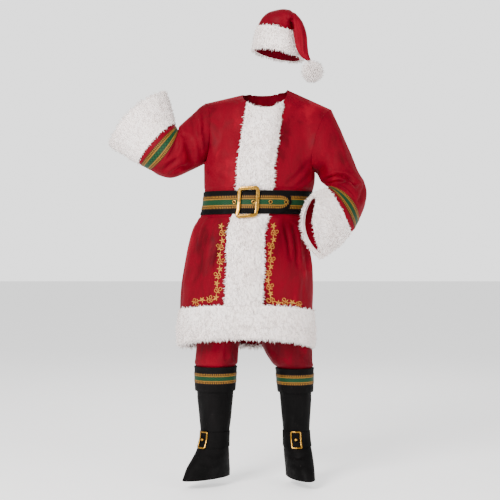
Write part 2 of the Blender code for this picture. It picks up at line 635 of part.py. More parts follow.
def build_belt(front, back, front_normals, back_normals):
    """Strap, braid, buckle and eyelets."""
    points, normals, lift = belt_course(front, back, front_normals, back_normals)
    low = np.repeat(lift[None], points.shape[0], axis=0)
    overlay("belt_strap", points, normals, low, low + STRAP, "black_velour")

    first, last = BRAID_ROWS[0] - BELT_LOW_ROW, BRAID_ROWS[1] - BELT_LOW_ROW
    rows = slice(first, last + 1)
    base = low[rows] + STRAP + SEAM_GAP
    overlay("belt_braid", points[rows], normals[rows], base, base + BRAID, "gold_green_braid")

    top_face = PLUSH_UNDER_BELT + 2 * SEAM_GAP + STRAP + BRAID + 2 * SEAM_GAP + STRAP + SEAM_GAP + BRAID
    centre = FRONT_COLUMNS
    belt_middle = (LEVELS[BELT_LOW_ROW] + LEVELS[BELT_TOP_ROW]) / 2
    rows = slice(BELT_LOW_ROW - 1, BELT_TOP_ROW + 2)

    def on_band(across, up, lift_by):
        """A point over the front band: metres across from its middle, metres up from the belt's."""
        place = centre + across / BAND_HALF * BAND_COLUMNS
        column = int(math.floor(place))
        share = place - column
        line = front[rows, column] * (1 - share) + front[rows, column + 1] * share
        out = front_normals[rows, column] * (1 - share) + front_normals[rows, column + 1] * share
        height = belt_middle + up
        point = np.array([np.interp(height, line[:, 2], line[:, axis]) for axis in (0, 1)] + [height])
        normal = unit(out[3] * np.array([1.0, 1.0, 0.0]))
        return point + normal * lift_by

    lift_buckle = top_face + 2 * SEAM_GAP + BUCKLE["bar"]
    corners = rounded_frame(BUCKLE["width"], BUCKLE["height"], BUCKLE["corner"])
    tilt = math.radians(BUCKLE["tilt"])
    path = []
    for x, z in corners:
        across = BUCKLE["across"] + x * math.cos(tilt) - z * math.sin(tilt)
        path.append(on_band(across, z * math.cos(tilt) + x * math.sin(tilt), lift_buckle))
    wire_loop("belt_buckle", path, BUCKLE["bar"])

    strap_top = points[2] + normals[2] * (low[2] + STRAP + SEAM_GAP + BRAID + SEAM_GAP)[:, None]
    steps = np.linalg.norm(np.diff(points[2], axis=0), axis=-1)
    travelled = np.concatenate([[0.0], np.cumsum(steps)])
    travelled += TONGUE_TIP - travelled[-1]
    for number, across in enumerate(EYELETS, start=1):
        place = np.interp(across, travelled, np.arange(len(travelled)))
        column = int(math.floor(place))
        share = place - column
        seat = strap_top[column] * (1 - share) + strap_top[column + 1] * share
        facing = strap_top[column + 1] - strap_top[column]
        facing = Vector(np.cross(facing, [0.0, 0.0, 1.0])).normalized()
        if facing.y > 0:
            facing = -facing
        ring_at("belt_eyelet_%d" % number, Vector(seat) + facing * (EYELET["wire"] + 2 * SEAM_GAP), facing)


def rounded_frame(width, height, corner):
    """Points round a rectangle with arcs for corners."""
    points = []
    for quarter in range(4):
        x = (width / 2 - corner) * (1 if quarter in (0, 3) else -1)
        z = (height / 2 - corner) * (1 if quarter in (0, 1) else -1)
        for step in range(4):
            angle = math.pi / 2 * (quarter + step / 3)
            points.append((x + corner * math.cos(angle), z + corner * math.sin(angle)))
        if quarter in (1, 3):
            continue
        for step in range(1, 4):
            points.append((x - 2 * x * step / 4, z + corner * (1 if z > 0 else -1)))
    return points


def wire_loop(name, path, radius, roundness=1):
    """A closed loop of wire along a path."""
    curve = bpy.data.curves.new(name, "CURVE")
    curve.dimensions = "3D"
    curve.bevel_depth = radius
    curve.bevel_resolution = roundness
    curve.use_fill_caps = True
    spline = curve.splines.new("POLY")
    spline.points.add(len(path) - 1)
    for point, place in zip(spline.points, path):
        point.co = (*[float(value) for value in place], 1.0)
    spline.use_cyclic_u = True
    piece = bpy.data.objects.new(name, curve)
    curve.materials.append(finish("gold_metal"))
    bpy.data.collections[OBJECT_NAME].objects.link(piece)
    return piece


def ring_at(name, middle, facing):
    """A small round eyelet that faces a direction."""
    across = facing.cross(Vector((0, 0, 1))).normalized()
    up = across.cross(facing)
    path = []
    for step in range(EYELET["sides"]):
        angle = 2 * math.pi * step / EYELET["sides"]
        path.append(middle + (across * math.cos(angle) + up * math.sin(angle)) * EYELET["outer"])
    return wire_loop(name, path, EYELET["wire"], roundness=0)


def leg_grid(name):
    """One trouser leg as an open sheet whose edges meet down the inseam."""
    side = SHOULDERS[name].side
    grid = []
    for row in LEGS[name]:
        cut = (CROTCH_X - row.middle) * side / row.half
        reach = math.acos(cut) if cut > -1 else math.pi
        angles = np.linspace(-reach, reach, LEG_COLUMNS + 1)
        x = row.middle + side * row.half * np.cos(angles)
        y = row.y + row.depth * np.sin(angles) * -1
        edge = SEAM_GAP * side * (np.abs(np.abs(angles) - reach) < 1e-9)
        grid.append(np.stack([x + edge / 2, y, np.full_like(x, row.z)], axis=-1))
    shaft, out = boot_grid(name, BOOTS[name])
    inner_column = round((90 - side * TOE_TURN[name]) * -side / 360 * BOOT_COLUMNS)
    columns = (inner_column - side * np.arange(LEG_COLUMNS + 1)) % BOOT_COLUMNS
    for place, lift in TUCK_ROWS:
        low = int(place)
        ring = shaft[low] * (1 - place % 1) + shaft[low + 1] * (place % 1)
        facing = out[low] * (1 - place % 1) + out[low + 1] * (place % 1)
        ring = ring - unit(facing * np.array([1.0, 1.0, 0.0])) * (CLOTH + 2 * SEAM_GAP)
        ring[:, 2] += lift
        grid.append(ring[columns])
    grid = np.array(grid)
    inseam = (grid[:, 0] + grid[:, -1]) / 2
    closed = np.linalg.norm(grid[:, 0] - grid[:, -1], axis=-1) < 0.002
    forward = np.array([0.0, SEAM_GAP, 0.0])
    grid[closed, 0] = inseam[closed] + forward
    grid[closed, -1] = inseam[closed] - forward
    return grid


def build_trousers():
    """Two legs, each one piece of cloth, and the band round the waist."""
    tops = {}
    for name in ("right", "left"):
        side = SHOULDERS[name].side
        grid = leg_grid(name)
        normals = grid_normals(grid) * -side
        centre = grid.mean(axis=1, keepdims=True)
        if np.sum((grid[4:8] - centre[4:8]) * normals[4:8]) < 0:
            normals = -normals
        normals[:, 0] = unit(normals[:, 0] * np.array([1.0, 1.0, 0.0]))
        normals[:, -1] = unit(normals[:, -1] * np.array([1.0, 1.0, 0.0]))
        wall("trouser_leg_" + name, grid, grid - normals * CLOTH, "red_velour")
        tops[name] = (grid[0], normals[0])
    right, left = tops["right"], tops["left"]
    loop = np.concatenate([left[0], right[0][::-1]])
    out = np.concatenate([left[1], right[1][::-1]])
    for column in (0, LEG_COLUMNS, LEG_COLUMNS + 1, -1):
        out[column] = [0.0, math.copysign(1.0, loop[column, 1]), 0.0]
    keep = np.ones(len(loop), bool)
    keep[LEG_COLUMNS + 1] = False
    keep[-1] = False
    loop, out = loop[keep], out[keep]
    seam = np.array([0, LEG_COLUMNS])
    loop[seam, 0] = CROTCH_X
    heights = np.array([SEAM_GAP, WAISTBAND_HEIGHT / 2, WAISTBAND_HEIGHT])
    rows = loop[None] + np.array([0.0, 0.0, 1.0]) * heights[:, None, None]
    wall("trouser_waistband", rows, rows - out[None] * 1.5 * CLOTH, "red_velour", around=True)


def boot_grid(name, rows):
    """Rings of a boot cover, each an oval turned towards the toe."""
    turn = math.radians(TOE_TURN[name])
    toe = np.array([math.sin(turn), -math.cos(turn), 0.0])
    across = np.array([math.cos(turn), math.sin(turn), 0.0])
    angles = np.arange(BOOT_COLUMNS) * 2 * math.pi / BOOT_COLUMNS
    grid = []
    for row in rows:
        middle = np.array([row.middle, row.y, row.z]) + toe * row.toe
        ring = middle + np.cos(angles)[:, None] * toe * row.along + np.sin(angles)[:, None] * across * row.across
        grid.append(ring)
    grid = np.array(grid)
    normals = grid_normals(grid, around=True)
    if np.sum((grid[0] - grid[0].mean(axis=0)) * normals[0]) < 0:
        normals = -normals
    return grid, normals


def build_boot_cover(name):
    """Shaft with foot, folded cuff with braid, ankle strap with buckle and stud."""
    grid, normals = boot_grid(name, BOOTS[name])
    wall("boot_shaft_" + name, grid, grid - normals * CLOTH, "black_velour", around=True)

    rows = slice(0, BOOT_CUFF_ROWS)
    cuff_low = np.array(BOOT_CUFF_LOW)[:, None]
    cuff_high = np.array(BOOT_CUFF_HIGH)[:, None]
    overlay("boot_cuff_" + name, grid[rows], normals[rows], cuff_low, cuff_high, "black_velour", around=True)

    face = grid[rows] + normals[rows] * cuff_high[..., None]
    places = np.array(BOOT_BRAID_SPAN) * (BOOT_CUFF_ROWS - 1)
    braid_rows = np.sort(np.append(places, 1.0))
    span = np.array([face[int(p)] * (1 - p % 1) + face[min(int(p) + 1, 2)] * (p % 1) for p in braid_rows])
    out = grid_normals(span, around=True)
    out = out * np.sign(np.sum((span[0] - span[0].mean(axis=0)) * out[0]))
    overlay("boot_braid_" + name, span, out, np.full((3, 1), SEAM_GAP), np.full((3, 1), SEAM_GAP + BRAID),
            "gold_green_braid", around=True)

    rows = slice(BOOT_STRAP_ROWS[0], BOOT_STRAP_ROWS[1] + 1)
    strap_high = SEAM_GAP + STRAP
    overlay("boot_strap_" + name, grid[rows], normals[rows], np.full((3, 1), SEAM_GAP),
            np.full((3, 1), strap_high), "black_velour", around=True)

    turn, height = BOOT_BUCKLE[name]
    column = turn / 360 * BOOT_COLUMNS
    spacing = float(np.mean(np.linalg.norm(np.diff(grid[BOOT_STRAP_ROWS[0] + 1], axis=0), axis=-1)))
    bar = SMALL_BUCKLE["bar"]
    lift = strap_high + bar + BUCKLE_CLEARANCE
    path = []
    for u, v in rounded_frame(SMALL_BUCKLE["width"], SMALL_BUCKLE["height"], SMALL_BUCKLE["corner"]):
        path.append(on_shaft(grid, normals, column + u / spacing, height + v, lift))
    wire_loop("boot_buckle_" + name, path, bar, roundness=0)

    mesh = bpy.data.meshes.new("boot_stud_" + name)
    shape = bmesh.new()
    bmesh.ops.create_uvsphere(shape, u_segments=10, v_segments=6, radius=STUD_RADIUS)
    seat = on_shaft(grid, normals, column, height, strap_high + STUD_RADIUS + STUD_CLEARANCE)
    bmesh.ops.translate(shape, verts=shape.verts, vec=Vector(seat))
    shape.to_mesh(mesh)
    shape.free()
    add_object("boot_stud_" + name, mesh, "gold_metal")


def on_shaft(grid, normals, column, height, lift):
    """A point off a boot shaft, at a column and a height, lifted along the wall's normal."""
    count = grid.shape[1]
    low = math.floor(column)
    share = column - low
    line = grid[:, low % count] * (1 - share) + grid[:, (low + 1) % count] * share
    out = normals[:, low % count] * (1 - share) + normals[:, (low + 1) % count] * share
    order = np.argsort(line[:, 2])
    point = np.array([np.interp(height, line[order, 2], line[order, axis]) for axis in range(3)])
    facing = np.array([np.interp(height, line[order, 2], out[order, axis]) for axis in range(3)])
    return point + unit(facing) * lift


def build_hat():
    """Crown that folds over into a tail, plush band and pompom."""
    angles = np.arange(HAT_COLUMNS) * 2 * math.pi / HAT_COLUMNS
    grid = outline_rings(HAT, angles, -1)
    normals = grid_normals(grid, around=True)
    if np.sum((grid[0] - grid[0].mean(axis=0)) * normals[0]) < 0:
        normals = -normals
    wall("hat_crown", grid, grid - normals * 0.75 * CLOTH, "red_velour", around=True)

    rows = slice(HAT_BAND_ROWS[0], HAT_BAND_ROWS[1] + 1)
    low = np.full((3, 1), SEAM_GAP)
    high = np.array([[0.8 * PLUSH], [PLUSH], [PLUSH_EDGE]])
    overlay("hat_fur_band", grid[rows], normals[rows], low, high, "white_plush", around=True)

    mesh = bpy.data.meshes.new("hat_pompom")
    shape = bmesh.new()
    bmesh.ops.create_icosphere(shape, subdivisions=2, radius=POMPOM["core"])
    grown = list(shape.faces)
    lock = POMPOM["reach"] - POMPOM["core"]
    for face in grown:
        bmesh.ops.poke(shape, faces=[face], offset=lock, center_mode="MEAN")
    bmesh.ops.scale(shape, verts=shape.verts, vec=(1.0, 1.0, POMPOM["flat"]))
    middle = slide_on_sight_line(np.array([POMPOM["middle"]]))[0]
    bmesh.ops.translate(shape, verts=shape.verts, vec=Vector(middle))
    shape.to_mesh(mesh)
    shape.free()
    add_object("hat_pompom", mesh, "white_plush")


def main():
    for item in list(bpy.data.objects):
        bpy.data.objects.remove(item)
    collection = bpy.data.collections.new(OBJECT_NAME)
    bpy.context.scene.collection.children.link(collection)

    grids = build_coat()
    build_coat_trims(*grids)
    for name in ("right", "left"):
        build_sleeve(name, armhole_loop(*grids, SHOULDERS[name].side))
        build_boot_cover(name)
    build_belt(*grids)
    build_trousers()
    build_hat()


main()
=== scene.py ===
# A red belted costume suit worn by nobody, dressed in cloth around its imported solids
# Metres, +Z up, front towards -Y, +X on the wearer's left, zero at the root of the neck
import math
from collections import namedtuple

import bpy
import numpy as np
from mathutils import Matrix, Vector


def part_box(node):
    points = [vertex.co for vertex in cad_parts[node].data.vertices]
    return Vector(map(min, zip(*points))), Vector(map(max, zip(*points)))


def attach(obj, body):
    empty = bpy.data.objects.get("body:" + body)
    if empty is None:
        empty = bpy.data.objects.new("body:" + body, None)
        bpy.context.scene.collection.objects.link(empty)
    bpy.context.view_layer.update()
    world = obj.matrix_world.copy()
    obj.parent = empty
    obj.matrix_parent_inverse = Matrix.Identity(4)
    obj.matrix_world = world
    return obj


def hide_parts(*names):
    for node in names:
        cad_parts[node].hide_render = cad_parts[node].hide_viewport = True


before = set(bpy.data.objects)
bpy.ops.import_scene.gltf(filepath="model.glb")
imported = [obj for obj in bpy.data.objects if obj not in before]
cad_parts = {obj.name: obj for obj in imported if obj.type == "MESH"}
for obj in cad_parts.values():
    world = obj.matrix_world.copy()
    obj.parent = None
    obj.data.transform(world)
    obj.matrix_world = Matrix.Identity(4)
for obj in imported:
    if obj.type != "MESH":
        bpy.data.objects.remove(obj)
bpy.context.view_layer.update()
print("frame loaded:", len(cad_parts), "nodes")

# The cut: sizes, tables and grids, as the solids have them

# Cloth and trims
seamGap = 0.0003
cloth = 0.0020
plushHeight = 0.0120
plushEdge = 0.0050
plushUnderBelt = 0.0040
braid = 0.0012
strap = 0.0025
boxExponent = 0.92

# The eye that the flat outlines were drawn for: a point on an outline slides along its sight line
eye = Vector((-0.047, -4.60, -0.600))

# Keeps only the level part of a vector
levelPart = np.array([1.0, 1.0, 0.0])

# Body of the coat: a row for each height
Section = namedtuple("Section", "z middle half front back turn")
torso = [Section(*row) for row in (
    (-0.970, -0.0616, 0.262, 0.205, 0.200, 3.0),
    (-0.832, -0.0616, 0.259, 0.203, 0.197, 3.0),
    (-0.740, -0.0580, 0.256, 0.200, 0.190, 3.0),
    (-0.650, -0.0530, 0.2455, 0.195, 0.180, 3.0),
    (-0.575, -0.0520, 0.232, 0.188, 0.168, 4.0),
    (-0.500, -0.0400, 0.221, 0.178, 0.157, 5.0),
    (-0.464, -0.0270, 0.214, 0.168, 0.149, 6.0),
    (-0.374, -0.0145, 0.2125, 0.161, 0.146, 6.0),
    (-0.340, -0.0110, 0.2165, 0.161, 0.150, 6.0),
    (-0.2785, -0.0100, 0.2170, 0.152, 0.148, 6.0),
)]
levels = (-0.960, -0.896, -0.832, -0.780, -0.720, -0.660, -0.600, -0.550, -0.510, -0.483,
          -0.464, -0.4455, -0.419, -0.3925, -0.374, -0.350, -0.318, -0.2785)
hemTopRow = 2
beltLowRow = 10
beltTopRow = 14
braidRows = (11, 13)
upperRows = 8
armpitTilt = -0.081
hemDrop = (-0.010, 0.033, 0.008)

# Grid columns from a centre line to a side seam
bandColumns = 2
frontColumns = 13
backColumns = 9
bandHalf = 0.069
neckBackHalf = 0.050

# Long folds of the skirt and chest: a row for each, angle from the centre front to the wearer's left
Fold = namedtuple("Fold", "angle top low width depth")
folds = [Fold(*row) for row in (
    (41.0, -0.462, -0.68, 4.0, 0.010),
    (53.0, -0.462, -0.72, 4.0, 0.012),
    (72.0, -0.462, -0.80, 5.0, 0.011),
    (-60.0, -0.462, -0.74, 6.0, 0.007),
    (-78.0, -0.480, -0.95, 6.0, 0.008),
    (118.0, -0.462, -0.90, 8.0, 0.010),
    (146.0, -0.462, -0.80, 8.0, 0.009),
    (-118.0, -0.462, -0.86, 8.0, 0.010),
    (-150.0, -0.462, -0.80, 8.0, 0.009),
)]

# Neck and shoulders
neck = {"x": 0.012, "y": 0.015, "half": 0.088, "front": 0.120, "back": 0.070,
        "frontZ": -0.055, "backZ": 0.016}
frontNeckRow = 5
backNeckRow = 6
Shoulder = namedtuple("Shoulder", "side tip neckZ hollow depth")
shoulders = {
    "right": Shoulder(-1, Vector((-0.222, 0.015, -0.024)), 0.010, 0.024, 0.088),
    "left": Shoulder(1, Vector((0.271, -0.010, -0.051)), 0.030, 0.036, 0.088),
}

# A bent sleeve is a row of rings, each drawn by its two outline points, its depth and its bow
Ring = namedtuple("Ring", "underX underZ overX overZ y depth bow swing")
sleeves = {
    "right": [Ring(*row) for row in (
        (-0.2500, -0.2760, -0.2440, -0.0400, 0.012, 0.096, 0.000, 0),
        (-0.2745, -0.2900, -0.2745, -0.0686, 0.008, 0.099, 0.000, 0),
        (-0.3176, -0.3078, -0.3078, -0.0980, 0.000, 0.097, 0.000, 0),
        (-0.3588, -0.3176, -0.3235, -0.1120, -0.010, 0.094, -0.004, 0),
        (-0.4000, -0.3082, -0.3290, -0.1220, -0.018, 0.091, -0.010, 0),
        (-0.4373, -0.2863, -0.3280, -0.1340, -0.022, 0.088, -0.014, 0),
        (-0.4745, -0.2665, -0.3370, -0.1160, -0.018, 0.087, 0.004, -3),
        (-0.4860, -0.2560, -0.3450, -0.1030, -0.012, 0.089, 0.010, -4),
        (-0.5294, -0.2216, -0.3647, -0.0529, 0.002, 0.100, 0.018, -6),
        (-0.5790, -0.1900, -0.3824, 0.0020, 0.018, 0.112, 0.022, -8),
    )],
    "left": [Ring(*row) for row in (
        (0.2130, -0.3000, 0.2870, -0.0830, -0.008, 0.096, 0.000, 0),
        (0.2170, -0.3060, 0.3098, -0.1294, -0.010, 0.098, 0.000, 0),
        (0.2250, -0.3196, 0.3471, -0.2118, -0.014, 0.096, 0.000, 0),
        (0.2333, -0.3333, 0.3765, -0.2878, -0.024, 0.093, -0.004, 2),
        (0.2412, -0.3431, 0.4020, -0.3294, -0.044, 0.090, -0.008, 4),
        (0.2490, -0.3478, 0.4100, -0.3725, -0.066, 0.088, -0.012, 6),
        (0.2569, -0.3502, 0.4039, -0.4314, -0.092, 0.088, -0.018, 8),
        (0.2640, -0.3510, 0.3804, -0.4824, -0.120, 0.088, -0.020, 8),
        (0.2600, -0.3560, 0.3608, -0.5196, -0.150, 0.090, -0.006, 8),
        (0.2500, -0.3600, 0.3431, -0.5350, -0.168, 0.092, 0.000, 9),
        (0.2294, -0.3765, 0.2961, -0.5745, -0.205, 0.096, 0.014, 10),
        (0.2137, -0.3880, 0.2373, -0.6157, -0.245, 0.100, 0.036, 12),
    )],
}
# Ring numbers where the braid and the plush start, counted with the armhole as ring 0
braidRings = {"right": (6, 7), "left": (8, 9)}
plushRing = {"right": 8, "left": 10}

# Deep creases of the sleeves: ring number, angle round the ring from the underarm, reach and depth
Crease = namedtuple("Crease", "ring angle rings reach depth")
sleeveCreases = {
    "right": [Crease(*row) for row in (
        (2.0, 75.0, 0.6, 60.0, 0.012),
        (3.0, 95.0, 0.5, 55.0, -0.006),
        (4.6, 120.0, 0.6, 45.0, 0.008),
        (3.0, 265.0, 0.6, 60.0, 0.009),
    )],
    "left": [Crease(*row) for row in (
        (5.0, 80.0, 0.6, 62.0, 0.016),
        (4.0, 80.0, 0.5, 60.0, -0.005),
        (2.0, 60.0, 0.6, 45.0, 0.009),
        (3.4, 250.0, 0.7, 55.0, 0.009),
    )],
}

# Trouser legs: a row for each height; a ring wider than its way to the crotch line is left open there
LegRow = namedtuple("LegRow", "z middle half y depth")
crotchX = -0.045
legs = {
    "right": [LegRow(*row) for row in (
        (-0.470, -0.045, 0.162, 0.003, 0.118),
        (-0.560, -0.045, 0.178, 0.003, 0.134),
        (-0.650, -0.054, 0.186, 0.005, 0.146),
        (-0.720, -0.084, 0.166, 0.004, 0.140),
        (-0.770, -0.118, 0.133, 0.002, 0.128),
        (-0.805, -0.1480, 0.1015, 0.000, 0.114),
        (-0.870, -0.1630, 0.0920, 0.002, 0.104),
        (-0.963, -0.1730, 0.0840, 0.006, 0.094),
        (-1.025, -0.1780, 0.0830, 0.009, 0.087),
    )],
    "left": [LegRow(*row) for row in (
        (-0.470, -0.045, 0.182, 0.003, 0.118),
        (-0.560, -0.045, 0.196, 0.003, 0.134),
        (-0.650, -0.038, 0.204, 0.005, 0.146),
        (-0.720, -0.008, 0.176, 0.004, 0.140),
        (-0.770, 0.030, 0.140, 0.002, 0.128),
        (-0.805, 0.0625, 0.1060, 0.000, 0.114),
        (-0.870, 0.0830, 0.1020, 0.004, 0.104),
        (-0.969, 0.0970, 0.0970, 0.012, 0.096),
        (-1.030, 0.1160, 0.0820, 0.020, 0.086),
    )],
}
# Legs end inside the boot covers: the boot's row number that each last row follows, and its lift
tuckRows = ((0.0, 0.0010), (1.0, 0.0), (1.3, 0.0))
waistbandHeight = 0.034

# Boot covers: a row for each height; `toe` is how far the row's middle moves towards the toe
BootRow = namedtuple("BootRow", "z middle y along across toe")
boots = {
    "right": [BootRow(*row) for row in (
        (-1.055, -0.1817, 0.010, 0.0790, 0.0770, 0.000),
        (-1.090, -0.1825, 0.011, 0.0775, 0.0755, 0.000),
        (-1.150, -0.1835, 0.013, 0.0740, 0.0715, 0.000),
        (-1.186, -0.1840, 0.015, 0.0705, 0.0690, 0.000),
        (-1.250, -0.1840, 0.015, 0.0640, 0.0630, 0.000),
        (-1.310, -0.1840, 0.012, 0.0575, 0.0560, 0.001),
        (-1.340, -0.1845, 0.010, 0.0580, 0.0565, 0.003),
        (-1.368, -0.1845, 0.008, 0.0640, 0.0570, 0.008),
        (-1.405, -0.1840, 0.010, 0.0800, 0.0560, 0.020),
        (-1.447, -0.1840, 0.010, 0.1000, 0.0530, 0.036),
        (-1.488, -0.1840, 0.010, 0.1150, 0.0480, 0.045),
    )],
    "left": [BootRow(*row) for row in (
        (-1.064, 0.1290, 0.035, 0.0730, 0.0700, 0.000),
        (-1.098, 0.1305, 0.036, 0.0710, 0.0680, 0.000),
        (-1.158, 0.1325, 0.038, 0.0670, 0.0640, 0.000),
        (-1.194, 0.1340, 0.040, 0.0640, 0.0610, 0.000),
        (-1.255, 0.1350, 0.040, 0.0590, 0.0565, 0.000),
        (-1.312, 0.1357, 0.037, 0.0550, 0.0520, 0.001),
        (-1.342, 0.1362, 0.035, 0.0560, 0.0525, 0.003),
        (-1.370, 0.1367, 0.033, 0.0620, 0.0535, 0.008),
        (-1.407, 0.1367, 0.035, 0.0780, 0.0530, 0.020),
        (-1.448, 0.1367, 0.035, 0.0980, 0.0510, 0.036),
        (-1.488, 0.1367, 0.035, 0.1120, 0.0470, 0.045),
    )],
}
toeTurn = {"right": -48.0, "left": 17.0}
bootColumns = 16
legColumns = bootColumns
bootCuffRows = 3
# Inner and outer faces of the folded cuff above the shaft, a number for each row
bootCuffLow = (seamGap, 0.0020, 0.0030)
bootCuffHigh = (0.0055, 0.0062, 0.0074)
bootStrapRows = (5, 7)
bootBraidSpan = (0.32, 0.74)
# Degrees round the shaft from the toe, and height
bootBuckle = {"right": (4.0, -1.340), "left": (-23.0, -1.342)}
studRadius = 0.0060

# Hat: rings from the brim over the top and down the folded tail
hat = [Ring(*row) for row in (
    (-0.0294, 0.1863, 0.1510, 0.1471, 0.000, 0.105, 0.000, -10),
    (-0.0235, 0.2150, 0.1480, 0.1790, 0.000, 0.103, 0.000, -10),
    (-0.0157, 0.2745, 0.1431, 0.2392, 0.000, 0.098, 0.000, -10),
    (-0.0039, 0.3000, 0.1450, 0.2627, -0.002, 0.092, 0.004, -8),
    (0.0176, 0.3235, 0.1420, 0.2720, -0.010, 0.083, 0.006, -6),
    (0.0510, 0.3380, 0.1370, 0.2740, -0.025, 0.069, 0.006, 0),
    (0.0863, 0.3427, 0.1314, 0.2725, -0.044, 0.056, 0.004, 0),
    (0.1157, 0.3365, 0.1260, 0.2690, -0.064, 0.045, 0.002, 0),
    (0.1451, 0.3137, 0.1235, 0.2610, -0.084, 0.037, 0.000, 0),
    (0.1655, 0.2804, 0.1235, 0.2471, -0.099, 0.032, 0.000, 0),
    (0.1765, 0.2392, 0.1262, 0.2235, -0.109, 0.029, 0.000, 0),
    (0.1804, 0.2000, 0.1333, 0.1922, -0.115, 0.025, 0.000, 0),
    (0.1850, 0.1680, 0.1490, 0.1600, -0.117, 0.019, 0.000, 0),
    (0.1928, 0.1405, 0.1828, 0.1375, -0.118, 0.005, 0.000, 0),
)]
hatColumns = 18
hatBandRows = (0, 2)
pompom = {"middle": (0.1975, -0.118, 0.1020), "core": 0.0265}

# Buckles, eyelets and studs
buckle = {"across": -0.0150, "width": 0.0640, "height": 0.1060, "bar": 0.0062, "corner": 0.009, "tilt": 3.5}
eyeletPlaces = (-0.0690, 0.0030, 0.0660, 0.1240)
eyeletRadius = 0.0058
tongueTip = 0.1480
smallBuckle = {"width": 0.0340, "height": 0.0620, "bar": 0.0030, "corner": 0.006}
# Clear height of the boot's buckle over the strap
buckleClearance = 0.0007


def unit(vectors):
    # Vectors scaled to length one along the last axis
    return vectors / np.maximum(np.linalg.norm(vectors, axis=-1, keepdims=True), 1e-12)


def travelled(line):
    # Way along a line of points up to each of them: the running sum of its steps
    return np.concatenate([[0.0], np.cumsum(np.linalg.norm(np.diff(line, axis=0), axis=-1))])


def blend(first, second, share):
    # first * (1 - share) + second * share
    return first * (1 - share) + second * share


def roundTurns(count):
    # Angles of count points spread evenly round a circle
    return np.arange(count) * 2 * np.pi / count


def curveThrough(places, values, at):
    # Smooth cubic through table values, read at the given places
    places = np.asarray(places, float)
    values = np.asarray(values, float)
    at = np.asarray(at, float)
    slopes = np.gradient(values, places, axis=0)
    index = np.clip(np.searchsorted(places, at) - 1, 0, len(places) - 2)
    width = places[index + 1] - places[index]
    s = (at - places[index]) / width
    if values.ndim > 1:
        width = width[..., None]
        s = s[..., None]
    start = (1 + 2 * s) * (1 - s) ** 2 * values[index] + s * (1 - s) ** 2 * width * slopes[index]
    end = s ** 2 * (3 - 2 * s) * values[index + 1] + s ** 2 * (s - 1) * width * slopes[index + 1]
    return start + end


def slideOnSightLine(points):
    # Points whose x and z were drawn on the plane y=0, moved to where the eye sees them
    depth = 1.0 - points[..., 1:2] / eye.y
    flat = np.stack([points[..., 0] - eye.x, points[..., 2] - eye.z], axis=-1) * depth
    return np.stack([flat[..., 0] + eye.x, points[..., 1], flat[..., 1] + eye.z], axis=-1)


def gridNormals(points, around=False):
    # Unit normals of a grid: its step along the rows crossed with its step along the columns
    if around:
        across = np.roll(points, -1, axis=1) - np.roll(points, 1, axis=1)
    else:
        across = np.gradient(points, axis=1)
    return unit(np.cross(across, np.gradient(points, axis=0)))


def outwardRings(grid):
    # Normals of a grid of rings, turned so that the first ring's point away from its middle
    normals = gridNormals(grid, around=True)
    return -normals if np.sum((grid[0] - grid[0].mean(axis=0)) * normals[0]) < 0 else normals


def drawnIn(grid):
    # A panel with both its side edges moved half a seam gap into it
    grid = grid.copy()
    for edge, neighbour in ((0, 1), (-1, -2)):
        grid[:, edge] = grid[:, edge] + unit(grid[:, neighbour] - grid[:, edge]) * seamGap / 2
    return grid


def columnAngles(half, band, columns):
    # Angles from the centre line to the side seam, with the band's edge on a column
    edge = np.arcsin(np.clip(band / half, 0, 0.95) ** (1 / boxExponent))
    share = np.arange(columns + 1)
    inner = np.minimum(share / bandColumns, 1.0)
    outer = np.clip((share - bandColumns) / (columns - bandColumns), 0.0, 1.0)
    return edge[:, None] * inner + (math.pi / 2 - edge[:, None]) * outer


def smoothStep(low, high, value):
    # From 0 at `low` to 1 at `high`, level at both ends
    s = np.clip((value - low) / (high - low), 0.0, 1.0)
    return s * s * (3 - 2 * s)


def lowerRows(front):
    # Rows of the coat from hem to armpit: half a rounded box, front or back, right to left
    table = curveThrough([row.z for row in torso], [row[1:] for row in torso], levels)
    middle, half, depthFront, depthBack, turn = table.T
    level = np.array(levels)[:, None]
    columns = frontColumns if front else backColumns
    angles = columnAngles(half, bandHalf if front else neckBackHalf, columns)
    angles = np.concatenate([-angles[:, :0:-1], angles], axis=1)
    side = np.sign(angles) * np.abs(np.sin(angles)) ** boxExponent * half[:, None]
    depth = depthFront if front else depthBack
    ahead = np.abs(np.cos(angles)) ** boxExponent * depth[:, None] * (-1 if front else 1)
    degrees = np.degrees(angles)
    if not front:
        degrees = np.where(angles < 0, -180.0, 180.0) - degrees
    dent = np.zeros_like(side)
    for fold in folds:
        along = smoothStep(fold.top + 0.012, fold.top - 0.05, level) * smoothStep(fold.low, fold.low + 0.2, level)
        near = np.exp(-((degrees - fold.angle) / fold.width) ** 2)
        far = np.exp(-((np.abs(degrees - fold.angle) - 2.4 * fold.width) / (1.3 * fold.width)) ** 2)
        dent += fold.depth * along * (near - 0.45 * far)
    radius = np.hypot(side, ahead)
    side, ahead = side * (1 - dent / radius), ahead * (1 - dent / radius)
    swing = np.radians(turn)[:, None]
    x = side * np.cos(swing) + ahead * np.sin(swing)
    y = ahead * np.cos(swing) - side * np.sin(swing)
    aheadShare = np.cos(np.radians(degrees))
    constant, linear, square = hemDrop
    drop = constant + linear * aheadShare + square * aheadShare ** 2
    z = level + drop * smoothStep(levels[beltLowRow], levels[0], level) ** 1.5
    z = z + armpitTilt * side * smoothStep(levels[beltTopRow], levels[-1], level)
    return np.stack([x + middle[:, None], y, z + 0 * x], axis=-1)


